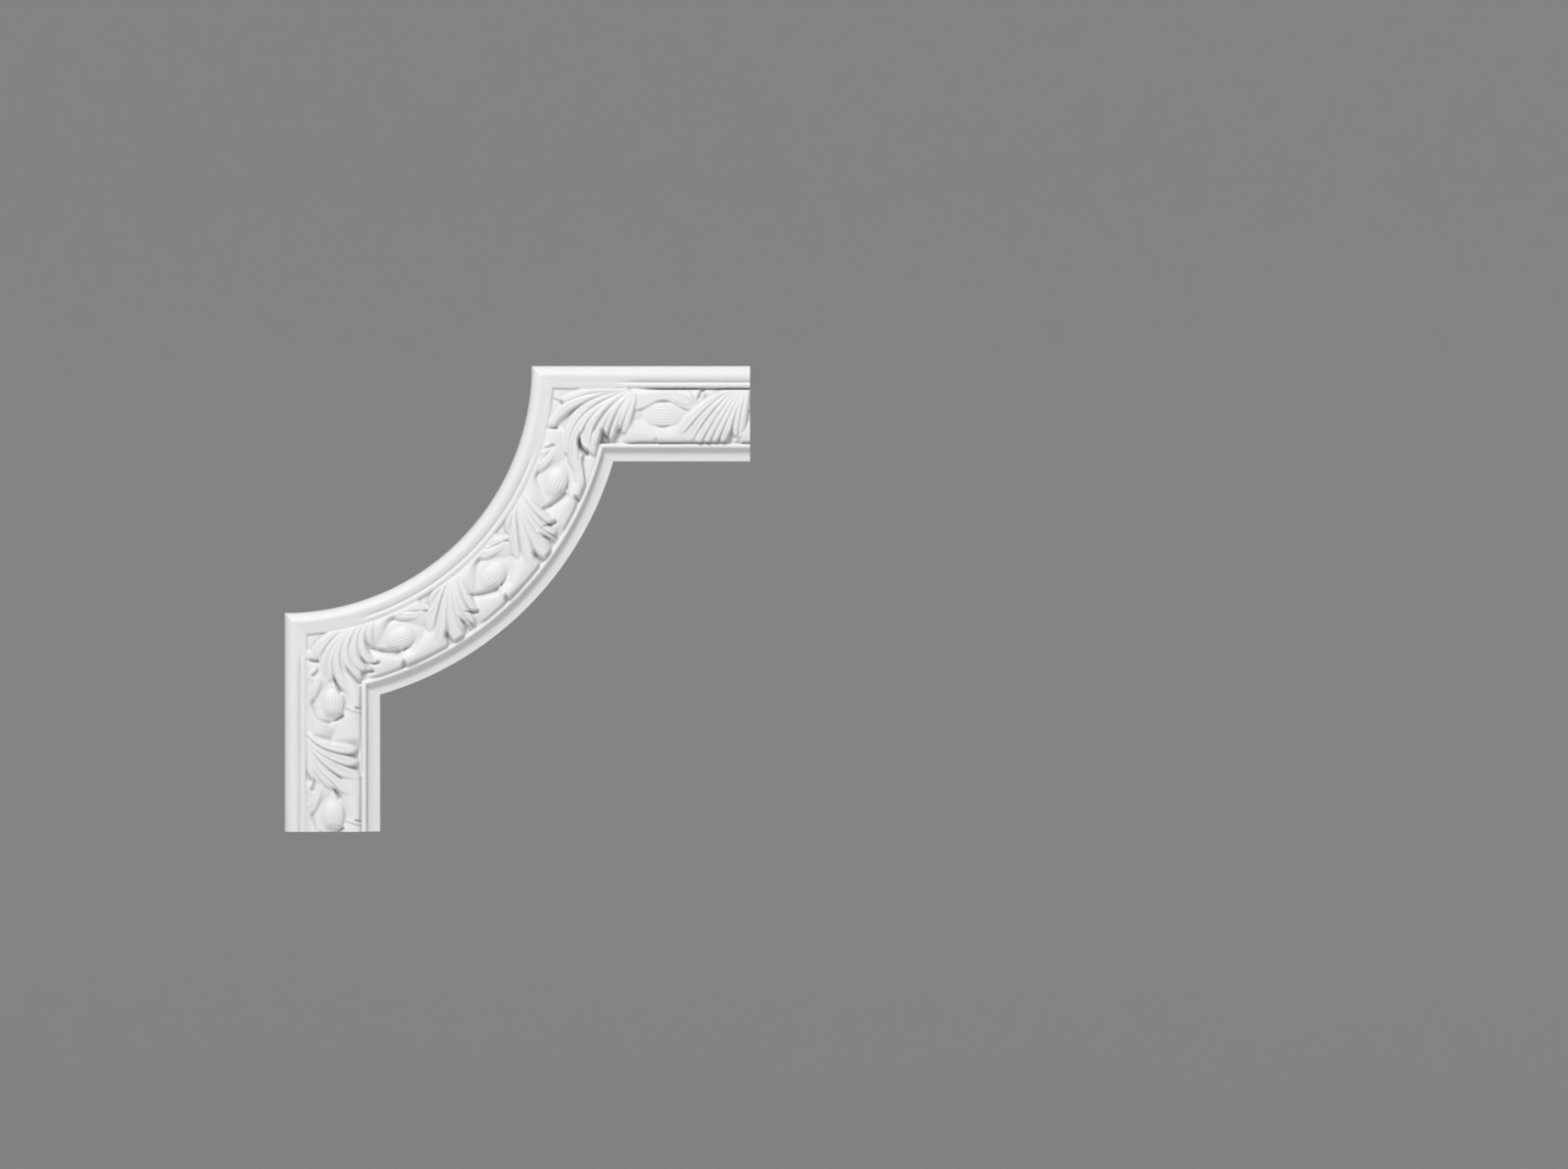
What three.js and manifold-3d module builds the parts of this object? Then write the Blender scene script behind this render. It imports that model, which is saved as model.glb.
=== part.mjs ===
// Corner block of a carved-leaf panel moulding, cast in one piece: two square-cut arms joined by a
// hollow quarter circle, with a running ornament of leaves, buds and ribbons along its band.
// It hangs on a wall: X to the right, Z up, the back in the plane y = 0 and the face towards -Y.
// Millimetres. The origin is on the back, at the middle of the quarter circle.
import * as THREE from 'three';
import { mergeVertices } from 'three/addons/utils/BufferGeometryUtils.js';
import Module from 'manifold-3d';

// Plan
const PROFILE_WIDTH = 60; // face width of the moulding that the arms continue
const COVE_RADIUS = 156; // outer edge of the quarter circle
const ARM_LENGTH = 138; // outer edge of each arm, from its corner to the cut end
const ARC_STEPS = 28;

// Section, from the outer edge inwards: heights are measured from the wall
const EDGE_HEIGHT = 13.5;
const BEAD_WIDTH = 10;
const BEAD_RISE = 3.4;
const BEAD_STEPS = 6;
const QUIRK_HEIGHT = 16.6;
const OUTER_FILLET_WIDTH = 2.6;
const OUTER_FILLET_HEIGHT = 17.8;
const FILLET_SLOPE = 0.7;
const FLOOR_HEIGHT = 13;
const INNER_FILLET_WIDTH = 2.2;
const INNER_FILLET_HEIGHT = 15.2;
const COVE_WIDTH = 8;
const COVE_TOP_HEIGHT = 13.4;
const COVE_FOOT_HEIGHT = 10.6;
const COVE_STEPS = 4;

// Ornament: it runs along a stem line, from the upper arm round the arc and down the left arm
const BUD_PITCH = 71; // along the stem line
const STEM_SHARE = 0.47; // place of the stem line across the band
const UPPER_BUD_FROM_MITRE = 55.6;
const LEFT_BUD_FROM_MITRE = 29.2;
const SINK = 2.5; // how far the ornament reaches down into the band
const DRAWN_PITCH = 71; // pitch and band that the leaves below are drawn for
const DRAWN_BAND = 34.9;
const LEAF_REACH = 56; // a leaf's back edge, drawn, from the middle of its bud

// Bud, neck and ribbons. Half widths are measured from the stem line. The upper arm's buds are flat.
// On the arc and the left arm the bud lies in a smooth husk, which takes the neck's place.
const FLAT_BUD = { length: 27, outerHalf: 7.1, innerHalf: 7.1, height: 18.6, ribs: 3, ribDepth: 0.5 };
const BUD = { length: 20, outerHalf: 7, innerHalf: 7, height: 19.8, ribs: 3, ribDepth: 0.9 };
const HUSK = { length: 37, outerHalf: 11.4, innerHalf: 7.4, height: 17.3, ribs: 2, ribDepth: 0 };
const BUD_STEPS = 6;
const BUD_END = 0.04; // share of the half turn cut off at either end of a bud
const BUD_FULLNESS = 0.8; // below 1 is blunter
const BUD_END_RISE = 0.35; // height at its ends as a share of its crest
const BUD_SIDE_RISE = 0.44; // height along its sides as a share of its crest
const NECK_HALF_WIDTH = 2.8;
const NECK_HEIGHT = 16.6;
const BUD_CLEARANCE = 1.2; // between a bud and the ribbons beside it
const GAP_REACH = 17; // from a bud's middle to where the ribbons close on the neck
const RIBBON_HEIGHT = 17.8;
const RIBBON_EDGE = 15.8; // height along the bud
const RIBBON_FOOT = 16.4; // height along the fillets
const RIBBON_CROWN = 0.7; // place of the crown across a ribbon
const RIBBON_STEPS = 6;
const RIBBON_FADE = 4; // length over which a ribbon rises from the band where it starts
const RIBBON_START_RISE = 0.1; // share of its height that it starts with

// Lobes
const LOBE_HEIGHT = 20.6;
const LOBE_STEPS = [0, 0.25, 0.5, 0.75, 0.93, 1];
const ROOT_SHARE = 0.5; // width at the root as a share of the full width
const TIP_SHARE = 0.42;
const FULL_AT = 0.68; // share of its length where a lobe is widest
const SIDE_SHARE = 0.58; // height of a lobe's side as a share of its crest, above the band
const ARCH_START = 0.18; // part of a half turn that the crest has risen by at the root
const ARCH_TURN = 0.54; // and turns through from root to tip

// Lobes of a leaf, from the one that reaches furthest along the run to the last. Each row holds
// its root, its middle and its tip, and its half width. A place is [along the run from the
// middle of the bud, across the band from its outer side]. The three runs have leaves of their own.
const UPPER_ARM_LEAF = [
  { root: [-44, 0.8], middle: [-25.5, 12], tip: [-9, 29], half: 3.7 },
  { root: [-45, 0.8], middle: [-27, 16.5], tip: [-17, 32], half: 3.4 },
  { root: [-46, 0.8], middle: [-31.5, 18.5], tip: [-22, 33.8], half: 3 },
  { root: [-47.5, 0.8], middle: [-35.5, 19.2], tip: [-27, 34.2], half: 2.7 },
  { root: [-49, 0.8], middle: [-39.7, 18.5], tip: [-32, 33.2], half: 2.5 },
  { root: [-50.3, 0.8], middle: [-43.2, 18.8], tip: [-37, 33.8], half: 2.5 },
  { root: [-51.6, 0.8], middle: [-47.5, 16.2], tip: [-45.6, 29.6], half: 2.5 },
  { root: [-53, 0.8], middle: [-51.3, 14.2], tip: [-49, 27.5], half: 2.3 },
];
const ARC_LEAF = [
  { root: [-47, 1], middle: [-32.5, 14.5], tip: [-18.5, 31], half: 3.6 },
  { root: [-45, 0.8], middle: [-29.5, 9], tip: [-18.5, 20.5], half: 3.2 },
  { root: [-42, 0.8], middle: [-33.5, 2.9], tip: [-27, 6], half: 2.2 },
  { root: [-48.5, 1.4], middle: [-36.8, 15.6], tip: [-31, 33], half: 4.6 },
  { root: [-50, 1.6], middle: [-40.5, 16.5], tip: [-39.6, 29.5], half: 2.2 },
  { root: [-51.5, 2], middle: [-44.2, 16], tip: [-43.6, 29.5], half: 2.4 },
  { root: [-54, 2.6], middle: [-49.4, 14.2], tip: [-48.2, 26.6], half: 2.7 },
];
const LEFT_ARM_LEAF = [
  { root: [-42.5, 0.8], middle: [-26.5, 12.8], tip: [-12.5, 32], half: 3.4 },
  { root: [-40, 0.8], middle: [-28.5, 6.2], tip: [-18, 16.5], half: 2.6 },
  { root: [-37.5, 0.8], middle: [-29, 2.8], tip: [-20.5, 8.4], half: 2.4 },
  { root: [-45, 0.8], middle: [-32.8, 14.8], tip: [-24.5, 33], half: 3.6 },
  { root: [-48, 0.8], middle: [-39.2, 11.8], tip: [-33.8, 31], half: 3.2 },
  { root: [-52, 0.8], middle: [-44.6, 12.5], tip: [-41.8, 30.5], half: 3.2 },
];
// The small leaf beside a bud, on the upper arm and on the other two runs.
const SHORT_SIDE_LEAF = [
  { root: [-20, 11.5], middle: [-11, 6.6], tip: [-3, 2.2], half: 3.5 },
  { root: [-20.5, 11], middle: [-15.8, 5.6], tip: [-12, 1.8], half: 3.5 },
  { root: [-21.5, 10.5], middle: [-22, 6], tip: [-22, 1.8], half: 3.3 },
];
const LONG_SIDE_LEAF = [
  { root: [-20.5, 10], middle: [-11.5, 5.8], tip: [-2, 1.6], half: 3.2 },
  { root: [-24.5, 7.5], middle: [-18.5, 4.4], tip: [-11, 1.4], half: 2.8 },
];
// Ribbons beside a bud: which side of the stem line, where they start and end along the run, and
// how much higher than the others they lie. Of the two inner ones, the first laps over the second.
const RIBBONS = [
  { side: -1, start: -24, end: 28, lift: 0.6, laps: false },
  { side: 1, start: -27, end: 4.6, lift: 0.5, laps: true },
  { side: 1, start: 1, end: 30, lift: 0, laps: false },
];
// Lobes of the two leaves that turn the corners, drawn as [right of, below] the point where the
// stem line turns from an arm into the arc.
const UPPER_CORNER_LEAF = [
  { root: [32.8, -15.2], middle: [11, -14.2], tip: [-8.8, -9], half: 2.6 },
  { root: [29.1, -14.3], middle: [-0.8, -7.2], tip: [-15.7, 8.4], half: 3.2 },
  { root: [30.9, -14], middle: [4.2, -1.6], tip: [-5.7, 20.8], half: 3.1 },
  { root: [32.2, -14], middle: [9.2, 2.1], tip: [1, 20.8], half: 3 },
  { root: [33.4, -13.8], middle: [13.5, 2.1], tip: [6.7, 18.9], half: 2.4 },
  { root: [34.7, -13.8], middle: [19.8, 2.1], tip: [11.7, 19.5], half: 2.5 },
  { root: [35.6, -13.5], middle: [24.7, -1.6], tip: [19.1, 12.1], half: 2.2 },
  { root: [36.2, -13.5], middle: [28.5, -0.4], tip: [22.5, 15.2], half: 2 },
  { root: [37.1, -13.5], middle: [31.5, -1.6], tip: [27.2, 9], half: 1.9 },
  { root: [38, -13.5], middle: [34.7, -1], tip: [30.6, 11.5], half: 2.4 },
];
const LOWER_CORNER_LEAF = [
  { root: [7.6, -17.4], middle: [-4, -10], tip: [-12.4, 1.6], half: 3.6 },
  { root: [9.3, -17.8], middle: [-2, -4], tip: [-5, 11], half: 2.6 },
  { root: [11.3, -18.3], middle: [0, -1.4], tip: [-1, 14.6], half: 2.8 },
  { root: [13.2, -18.7], middle: [2.6, 2], tip: [10.6, 21.6], half: 3.3 },
  { root: [15.2, -19.3], middle: [7.8, -1], tip: [16.6, 13.6], half: 2.9 },
  { root: [18.2, -19.9], middle: [13.6, -3.4], tip: [20.6, 7.6], half: 2.8 },
  { root: [21.6, -21], middle: [18.8, -6.4], tip: [26, 3], half: 2.6 },
  { root: [25.6, -22], middle: [23.6, -14], tip: [25.6, -8], half: 2.4 },
];

// Worked out from the sizes above
const END = COVE_RADIUS + ARM_LENGTH;
const BAND_START = BEAD_WIDTH + 2 * FILLET_SLOPE + OUTER_FILLET_WIDTH;
const BAND_WIDTH = PROFILE_WIDTH - COVE_WIDTH - 1.5 * FILLET_SLOPE - INNER_FILLET_WIDTH - BAND_START;
const STEM_OFFSET = BAND_START + STEM_SHARE * BAND_WIDTH;
const STEM_RADIUS = COVE_RADIUS + STEM_OFFSET;
const STEM_MITRE = Math.sqrt(STEM_RADIUS ** 2 - STEM_OFFSET ** 2);
const ALONG_SCALE = BUD_PITCH / DRAWN_PITCH;
const ACROSS_SCALE = BAND_WIDTH / DRAWN_BAND;

const MERGE_DISTANCE = 1e-5;

const wasm = await Module();
wasm.setup();

// Outer edge to inner edge of the face, as [distance from the outer edge, height].
function sectionPoints() {
  const points = [[0, 0]];
  for (let i = 0; i <= BEAD_STEPS; i++) {
    const turn = (Math.PI * i) / BEAD_STEPS;
    const share = (1 - Math.cos(turn)) / 2;
    const chord = EDGE_HEIGHT + (QUIRK_HEIGHT - EDGE_HEIGHT) * share;
    points.push([BEAD_WIDTH * share, chord + BEAD_RISE * Math.sin(turn)]);
  }
  const bandEnd = BAND_START + BAND_WIDTH;
  const filletEnd = BAND_START - FILLET_SLOPE;
  points.push([filletEnd - OUTER_FILLET_WIDTH, OUTER_FILLET_HEIGHT], [filletEnd, OUTER_FILLET_HEIGHT]);
  points.push([BAND_START, FLOOR_HEIGHT], [bandEnd, FLOOR_HEIGHT]);
  const innerStart = bandEnd + FILLET_SLOPE;
  points.push([innerStart, INNER_FILLET_HEIGHT], [innerStart + INNER_FILLET_WIDTH, INNER_FILLET_HEIGHT]);
  const coveStart = PROFILE_WIDTH - COVE_WIDTH;
  for (let i = 0; i <= COVE_STEPS; i++) {
    const turn = (Math.PI / 2) * (i / COVE_STEPS);
    const drop = COVE_TOP_HEIGHT - COVE_FOOT_HEIGHT;
    points.push([coveStart + COVE_WIDTH * (1 - Math.cos(turn)), COVE_TOP_HEIGHT - drop * Math.sin(turn)]);
  }
  points.push([PROFILE_WIDTH, 0]);
  return points;
}

// Where a run at a given distance from the outer edge goes, as [right of, below] the arc's centre.
function runPoints(offset) {
  const radius = COVE_RADIUS + offset;
  const mitre = Math.asin(offset / radius);
  const points = [[END, offset]];
  for (let i = 0; i <= ARC_STEPS; i++) {
    const turn = mitre + (Math.PI / 2 - 2 * mitre) * (i / ARC_STEPS);
    points.push([radius * Math.cos(turn), radius * Math.sin(turn)]);
  }
  points.push([offset, END]);
  return points;
}

// From a place beside the arc's centre and a height off the wall to the part's own axes.
function toPart([right, below], height) {
  const middle = (COVE_RADIUS + PROFILE_WIDTH / 2) * Math.SQRT1_2;
  return new THREE.Vector3(right - middle, -height, middle - below);
}

// A closed shell over rings of points that all have the same length: rings run along the form.
function loft(rings) {
  const sides = rings[0].length;
  const positions = rings.flat().flatMap((point) => point.toArray());
  const faces = [];
  for (let r = 0; r < rings.length - 1; r++) {
    for (let k = 0; k < sides; k++) {
      const a = r * sides + k;
      const b = r * sides + ((k + 1) % sides);
      faces.push(a, b, b + sides, a, b + sides, a + sides);
    }
  }
  const outline = (ring) => THREE.ShapeUtils.triangulateShape(flatten(ring), []);
  const last = (rings.length - 1) * sides;
  for (const [i, j, k] of outline(rings[0])) faces.push(i, k, j);
  for (const [i, j, k] of outline(rings[rings.length - 1])) faces.push(last + i, last + j, last + k);
  const geometry = new THREE.BufferGeometry();
  geometry.setAttribute('position', new THREE.Float32BufferAttribute(positions, 3));
  geometry.setIndex(signedVolume(positions, faces) > 0 ? faces : faces.reverse());
  return geometry;
}

// Positive where the faces of a closed shell point outwards.
function signedVolume(positions, faces) {
  const corners = [new THREE.Vector3(), new THREE.Vector3(), new THREE.Vector3()];
  let sum = 0;
  for (let i = 0; i < faces.length; i += 3) {
    corners.forEach((corner, k) => corner.fromArray(positions, 3 * faces[i + k]));
    sum += corners[0].dot(corners[1].cross(corners[2]));
  }
  return sum / 6;
}

// A ring's points in its own plane.
function flatten(ring) {
  const across = ring[ring.length - 1].clone().sub(ring[0]).setY(0).normalize();
  return ring.map((point) => new THREE.Vector2(point.clone().sub(ring[0]).dot(across), point.y));
}

function toSolid(geometry) {
  const merged = mergeVertices(geometry, MERGE_DISTANCE);
  const mesh = new wasm.Mesh({
    numProp: 3,
    vertProperties: new Float32Array(merged.attributes.position.array),
    triVerts: new Uint32Array(merged.index.array),
  });
  return new wasm.Manifold(mesh);
}

function toGeometry(solid) {
  const mesh = solid.getMesh();
  const geometry = new THREE.BufferGeometry();
  geometry.setAttribute('position', new THREE.Float32BufferAttribute(mesh.vertProperties, 3));
  geometry.setIndex(new THREE.Uint32BufferAttribute(mesh.triVerts, 1));
  geometry.computeVertexNormals();
  return geometry;
}

// The plain moulding, mitred at both corners.
function buildMoulding() {
  const section = sectionPoints();
  const runs = section.map(([offset]) => runPoints(offset));
  const rings = runs[0].map((_, i) => section.map(([, height], k) => toPart(runs[k][i], height)));
  return loft(rings);
}

// A tongue along the curve through its root, middle and tip, in true size; crest(u) is its height.
function buildTongue(place, { root: from, middle: through, tip: to, half }, crest, stations) {
  const [root, middle, tip] = [from, through, to].map(([x, y]) => new THREE.Vector2(x, y));
  const pull = middle.clone().multiplyScalar(2).sub(root.clone().add(tip).multiplyScalar(0.5));
  const curve = new THREE.QuadraticBezierCurve(root, pull, tip);
  const rings = stations.map((u) => {
    const centre = curve.getPoint(u);
    const along = curve.getTangent(u);
    const side = new THREE.Vector2(-along.y, along.x).multiplyScalar(half * widthShare(u));
    const top = crest(u);
    const edge = FLOOR_HEIGHT + (top - FLOOR_HEIGHT) * SIDE_SHARE;
    const left = place([centre.x - side.x, centre.y - side.y]);
    const right = place([centre.x + side.x, centre.y + side.y]);
    const foot = FLOOR_HEIGHT - SINK;
    return [
      toPart(left, foot),
      toPart(left, edge),
      toPart(place([centre.x, centre.y]), top),
      toPart(right, edge),
      toPart(right, foot),
    ];
  });
  return loft(rings);
}

// Narrow at the root, full at two thirds, rounded off at the tip.
function widthShare(u) {
  if (u < FULL_AT) return ROOT_SHARE + (1 - ROOT_SHARE) * Math.sin((Math.PI / 2) * (u / FULL_AT));
  return TIP_SHARE + (1 - TIP_SHARE) * Math.sqrt(1 - ((u - FULL_AT) / (1 - FULL_AT)) ** 2);
}

// Crest of a leaf's lobe: it rises out of the band, arches, and dips a little to its tip.
function lobeCrest(u) {
  const arch = Math.sin(Math.PI * (ARCH_START + ARCH_TURN * u));
  return FLOOR_HEIGHT + (LOBE_HEIGHT - FLOOR_HEIGHT) * arch;
}

// A lobe, from the size it is drawn in to the size of this band.
function buildLobe(place, { half, ...row }, fit) {
  const { root, middle, tip } = row;
  const fitted = { root: fit(root), middle: fit(middle), tip: fit(tip), half: half * ACROSS_SCALE };
  return buildTongue(place, fitted, lobeCrest, LOBE_STEPS);
}

const fitRun = ([along, across]) => [along * ALONG_SCALE, BAND_START + across * ACROSS_SCALE];
const fitCorner = ([right, below]) => [right * ACROSS_SCALE, below * ACROSS_SCALE];

// Distance from the stem line to a ribbon's edge, at a place along the run from the middle of a bud
// with the given half width on that side.
function ribbonGap(along, half) {
  const share = Math.min(Math.abs(along) / GAP_REACH, 1);
  const swell = half + BUD_CLEARANCE - NECK_HALF_WIDTH;
  return NECK_HALF_WIDTH + swell * 0.5 * (1 + Math.cos(Math.PI * share));
}

// A ribbon fills the band from its edge beside a bud or husk to a fillet.
function buildRibbon(place, { side, start, end, lift, laps }, { outerHalf, innerHalf }) {
  const half = side < 0 ? outerHalf : innerHalf;
  const limit = side < 0 ? BAND_START : BAND_START + BAND_WIDTH;
  const rings = [];
  for (let i = 0; i <= RIBBON_STEPS; i++) {
    const drawn = start + (end - start) * (i / RIBBON_STEPS);
    const along = drawn * ALONG_SCALE;
    const edge = STEM_OFFSET + side * ribbonGap(along, half);
    const clear = laps ? drawn - start : Math.min(drawn - start, end - drawn);
    const rise = Math.min(1, RIBBON_START_RISE + clear / RIBBON_FADE);
    const at = (share) => place([along, edge + (limit - edge) * share]);
    const up = (height) => FLOOR_HEIGHT + (height - FLOOR_HEIGHT) * rise;
    rings.push([
      toPart(at(0), FLOOR_HEIGHT - SINK),
      toPart(at(0), up(RIBBON_EDGE + lift)),
      toPart(at(RIBBON_CROWN), up(RIBBON_HEIGHT + lift)),
      toPart(at(1), up(RIBBON_FOOT)),
      toPart(at(1), FLOOR_HEIGHT - SINK),
    ]);
  }
  return loft(rings);
}

// A ribbed bud or a husk, pointing along the run.
function buildBud(place, { length, outerHalf, innerHalf, height, ribs, ribDepth }) {
  const rings = [];
  const across = 2 * ribs;
  for (let i = 0; i <= BUD_STEPS; i++) {
    const turn = Math.PI * (BUD_END + (1 - 2 * BUD_END) * (i / BUD_STEPS));
    const along = (-length / 2) * Math.cos(turn);
    const full = Math.sin(turn) ** BUD_FULLNESS;
    const crest = (height - FLOOR_HEIGHT) * (BUD_END_RISE + (1 - BUD_END_RISE) * Math.sin(turn));
    const half = (share) => full * (share < 0 ? outerHalf : innerHalf);
    const at = (share) => place([along, STEM_OFFSET + half(share) * share]);
    const ring = [toPart(at(-1), FLOOR_HEIGHT - SINK)];
    for (let k = 0; k <= across; k++) {
      const share = (2 * k) / across - 1;
      const dome = crest * (BUD_SIDE_RISE + (1 - BUD_SIDE_RISE) * Math.sqrt(1 - share * share));
      const groove = k % 2 ? 0 : ribDepth * Math.sin(turn);
      ring.push(toPart(at(share), FLOOR_HEIGHT + dome - groove));
    }
    ring.push(toPart(at(1), FLOOR_HEIGHT - SINK));
    rings.push(ring);
  }
  return loft(rings);
}

// The stem, from one ribbon's closing to the next, under a bud that has no husk.
function buildNeck(place) {
  const reach = GAP_REACH + RIBBON_FADE;
  const row = {
    root: [-reach, STEM_OFFSET],
    middle: [0, STEM_OFFSET],
    tip: [reach, STEM_OFFSET],
    half: NECK_HALF_WIDTH,
  };
  return buildTongue(place, row, () => NECK_HEIGHT, [0, 0.5, 1]);
}

// Places along the three runs, each as a function of [along the run, from the outer edge].
const onUpperArm = (bud) => ([along, offset]) => [bud - along, offset];
const onLeftArm = (bud) => ([along, offset]) => [offset, bud + along];
const onArc = (turn) => ([along, offset]) => {
  const angle = turn + along / STEM_RADIUS;
  return [(COVE_RADIUS + offset) * Math.cos(angle), (COVE_RADIUS + offset) * Math.sin(angle)];
};
// Places in a corner, each as a function of [right of, below] the stem line's turn.
const inUpperCorner = ([right, below]) => [STEM_MITRE + right, STEM_OFFSET + below];
const inLowerCorner = ([right, below]) => [STEM_OFFSET + right, STEM_MITRE + below];

// Each bud's place, its forms, the small leaf beside it and the leaf that runs up to it, which is
// none where a corner's leaf does.
function budPlaces() {
  const reach = LEAF_REACH * ALONG_SCALE;
  const places = [];
  for (let bud = STEM_MITRE + UPPER_BUD_FROM_MITRE; bud - reach / 2 < END; bud += BUD_PITCH) {
    const leaf = bud < END ? UPPER_ARM_LEAF : [];
    places.push({ place: onUpperArm(bud), forms: [FLAT_BUD], side: SHORT_SIDE_LEAF, leaf });
  }
  const arc = STEM_RADIUS * (Math.PI / 2 - 2 * Math.asin(STEM_OFFSET / STEM_RADIUS));
  const arcBuds = Math.max(1, Math.round(arc / BUD_PITCH));
  for (let i = 0; i < arcBuds; i++) {
    const turn = Math.PI / 4 + (BUD_PITCH / STEM_RADIUS) * (i - (arcBuds - 1) / 2);
    const leaf = i > 0 ? ARC_LEAF : [];
    places.push({ place: onArc(turn), forms: [HUSK, BUD], side: LONG_SIDE_LEAF, leaf });
  }
  const first = STEM_MITRE + LEFT_BUD_FROM_MITRE;
  for (let bud = first; bud - reach < END; bud += BUD_PITCH) {
    const leaf = bud > first ? LEFT_ARM_LEAF : [];
    places.push({ place: onLeftArm(bud), forms: [HUSK, BUD], side: LONG_SIDE_LEAF, leaf });
  }
  return places;
}

function buildOrnament() {
  const pieces = [];
  for (const { place, forms, side, leaf } of budPlaces()) {
    pieces.push(...forms.map((form) => buildBud(place, form)));
    if (forms.length === 1) pieces.push(buildNeck(place));
    pieces.push(...RIBBONS.map((row) => buildRibbon(place, row, forms[0])));
    pieces.push(...[...side, ...leaf].map((row) => buildLobe(place, row, fitRun)));
  }
  pieces.push(...UPPER_CORNER_LEAF.map((row) => buildLobe(inUpperCorner, row, fitCorner)));
  pieces.push(...LOWER_CORNER_LEAF.map((row) => buildLobe(inLowerCorner, row, fitCorner)));
  return pieces;
}

// A block over the whole part, which trims the ornament at the two cut ends.
function buildTrim() {
  const geometry = new THREE.BoxGeometry(END, 4 * LOBE_HEIGHT, END);
  const centre = toPart([END / 2, END / 2], 0);
  geometry.translate(centre.x, centre.y, centre.z);
  geometry.deleteAttribute('normal');
  geometry.deleteAttribute('uv');
  return geometry;
}

function buildCorner() {
  const ornament = buildOrnament().map(toSolid);
  const joined = wasm.Manifold.union([toSolid(buildMoulding()), ...ornament]);
  return toGeometry(joined.intersect(toSolid(buildTrim())));
}

const plaster = new THREE.MeshStandardMaterial({ color: 0xf1f0ee, roughness: 0.55, metalness: 0 });
plaster.name = 'primed_white';

const corner = new THREE.Mesh(buildCorner(), plaster);
corner.name = 'corner_moulding';

const group = new THREE.Group();
group.name = 'panel_moulding_corner';
group.add(corner);

export default group;
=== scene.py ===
"""Carved-leaf corner of a wall panel moulding, primed white: the visual model around its solid."""

import logging
import math
from dataclasses import dataclass, field, replace
from enum import Enum
from typing import Callable, Sequence

import bpy
import numpy as np
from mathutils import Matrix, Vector


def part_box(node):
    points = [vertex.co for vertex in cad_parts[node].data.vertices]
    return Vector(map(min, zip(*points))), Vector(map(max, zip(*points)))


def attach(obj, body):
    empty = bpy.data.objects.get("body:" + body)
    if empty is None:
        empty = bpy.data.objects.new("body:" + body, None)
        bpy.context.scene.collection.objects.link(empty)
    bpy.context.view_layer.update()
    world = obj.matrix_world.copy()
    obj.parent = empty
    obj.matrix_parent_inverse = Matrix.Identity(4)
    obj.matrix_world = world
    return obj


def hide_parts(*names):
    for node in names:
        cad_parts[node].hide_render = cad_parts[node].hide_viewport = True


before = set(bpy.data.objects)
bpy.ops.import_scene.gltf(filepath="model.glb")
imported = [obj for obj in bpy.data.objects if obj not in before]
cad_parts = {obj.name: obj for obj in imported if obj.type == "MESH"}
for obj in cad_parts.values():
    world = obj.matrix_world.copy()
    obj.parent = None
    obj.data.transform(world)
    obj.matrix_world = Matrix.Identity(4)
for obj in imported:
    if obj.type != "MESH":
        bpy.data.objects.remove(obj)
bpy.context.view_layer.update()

logging.basicConfig(level=logging.INFO, format="%(message)s")
log = logging.getLogger("corner")

MM = 0.001
NODE = "corner_moulding"
BODY = "root"
PHOTO_WIDTH = 1600
PHOTO_HEIGHT = 1193
PROFILE_WIDTH = 60.0
CUT_ROOT_SHARE = 0.3
NOTHING = -1000.0

Place = tuple[float, float]


class Side(Enum):
    """Which side of the stem line a ribbon lies on."""

    OUTER = -1
    INNER = 1


@dataclass(frozen=True)
class Plan:
    """Plan of the corner in millimetres, seen from its carved face.

    A place is given as its distance right of and below the centre of the quarter circle.
    """

    end: float
    profile_width: float = PROFILE_WIDTH
    cove_radius: float = 156.0

    @property
    def middle(self) -> float:
        """Distance right of and below the arc's centre where the part has its origin."""
        return (self.cove_radius + self.profile_width / 2) * math.sqrt(0.5)

    @classmethod
    def from_solid(cls) -> "Plan":
        """Takes the overall length from the solid that the piece stands for."""
        low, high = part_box(NODE)
        return cls(end=(high[0] - low[0]) / MM)


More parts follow.
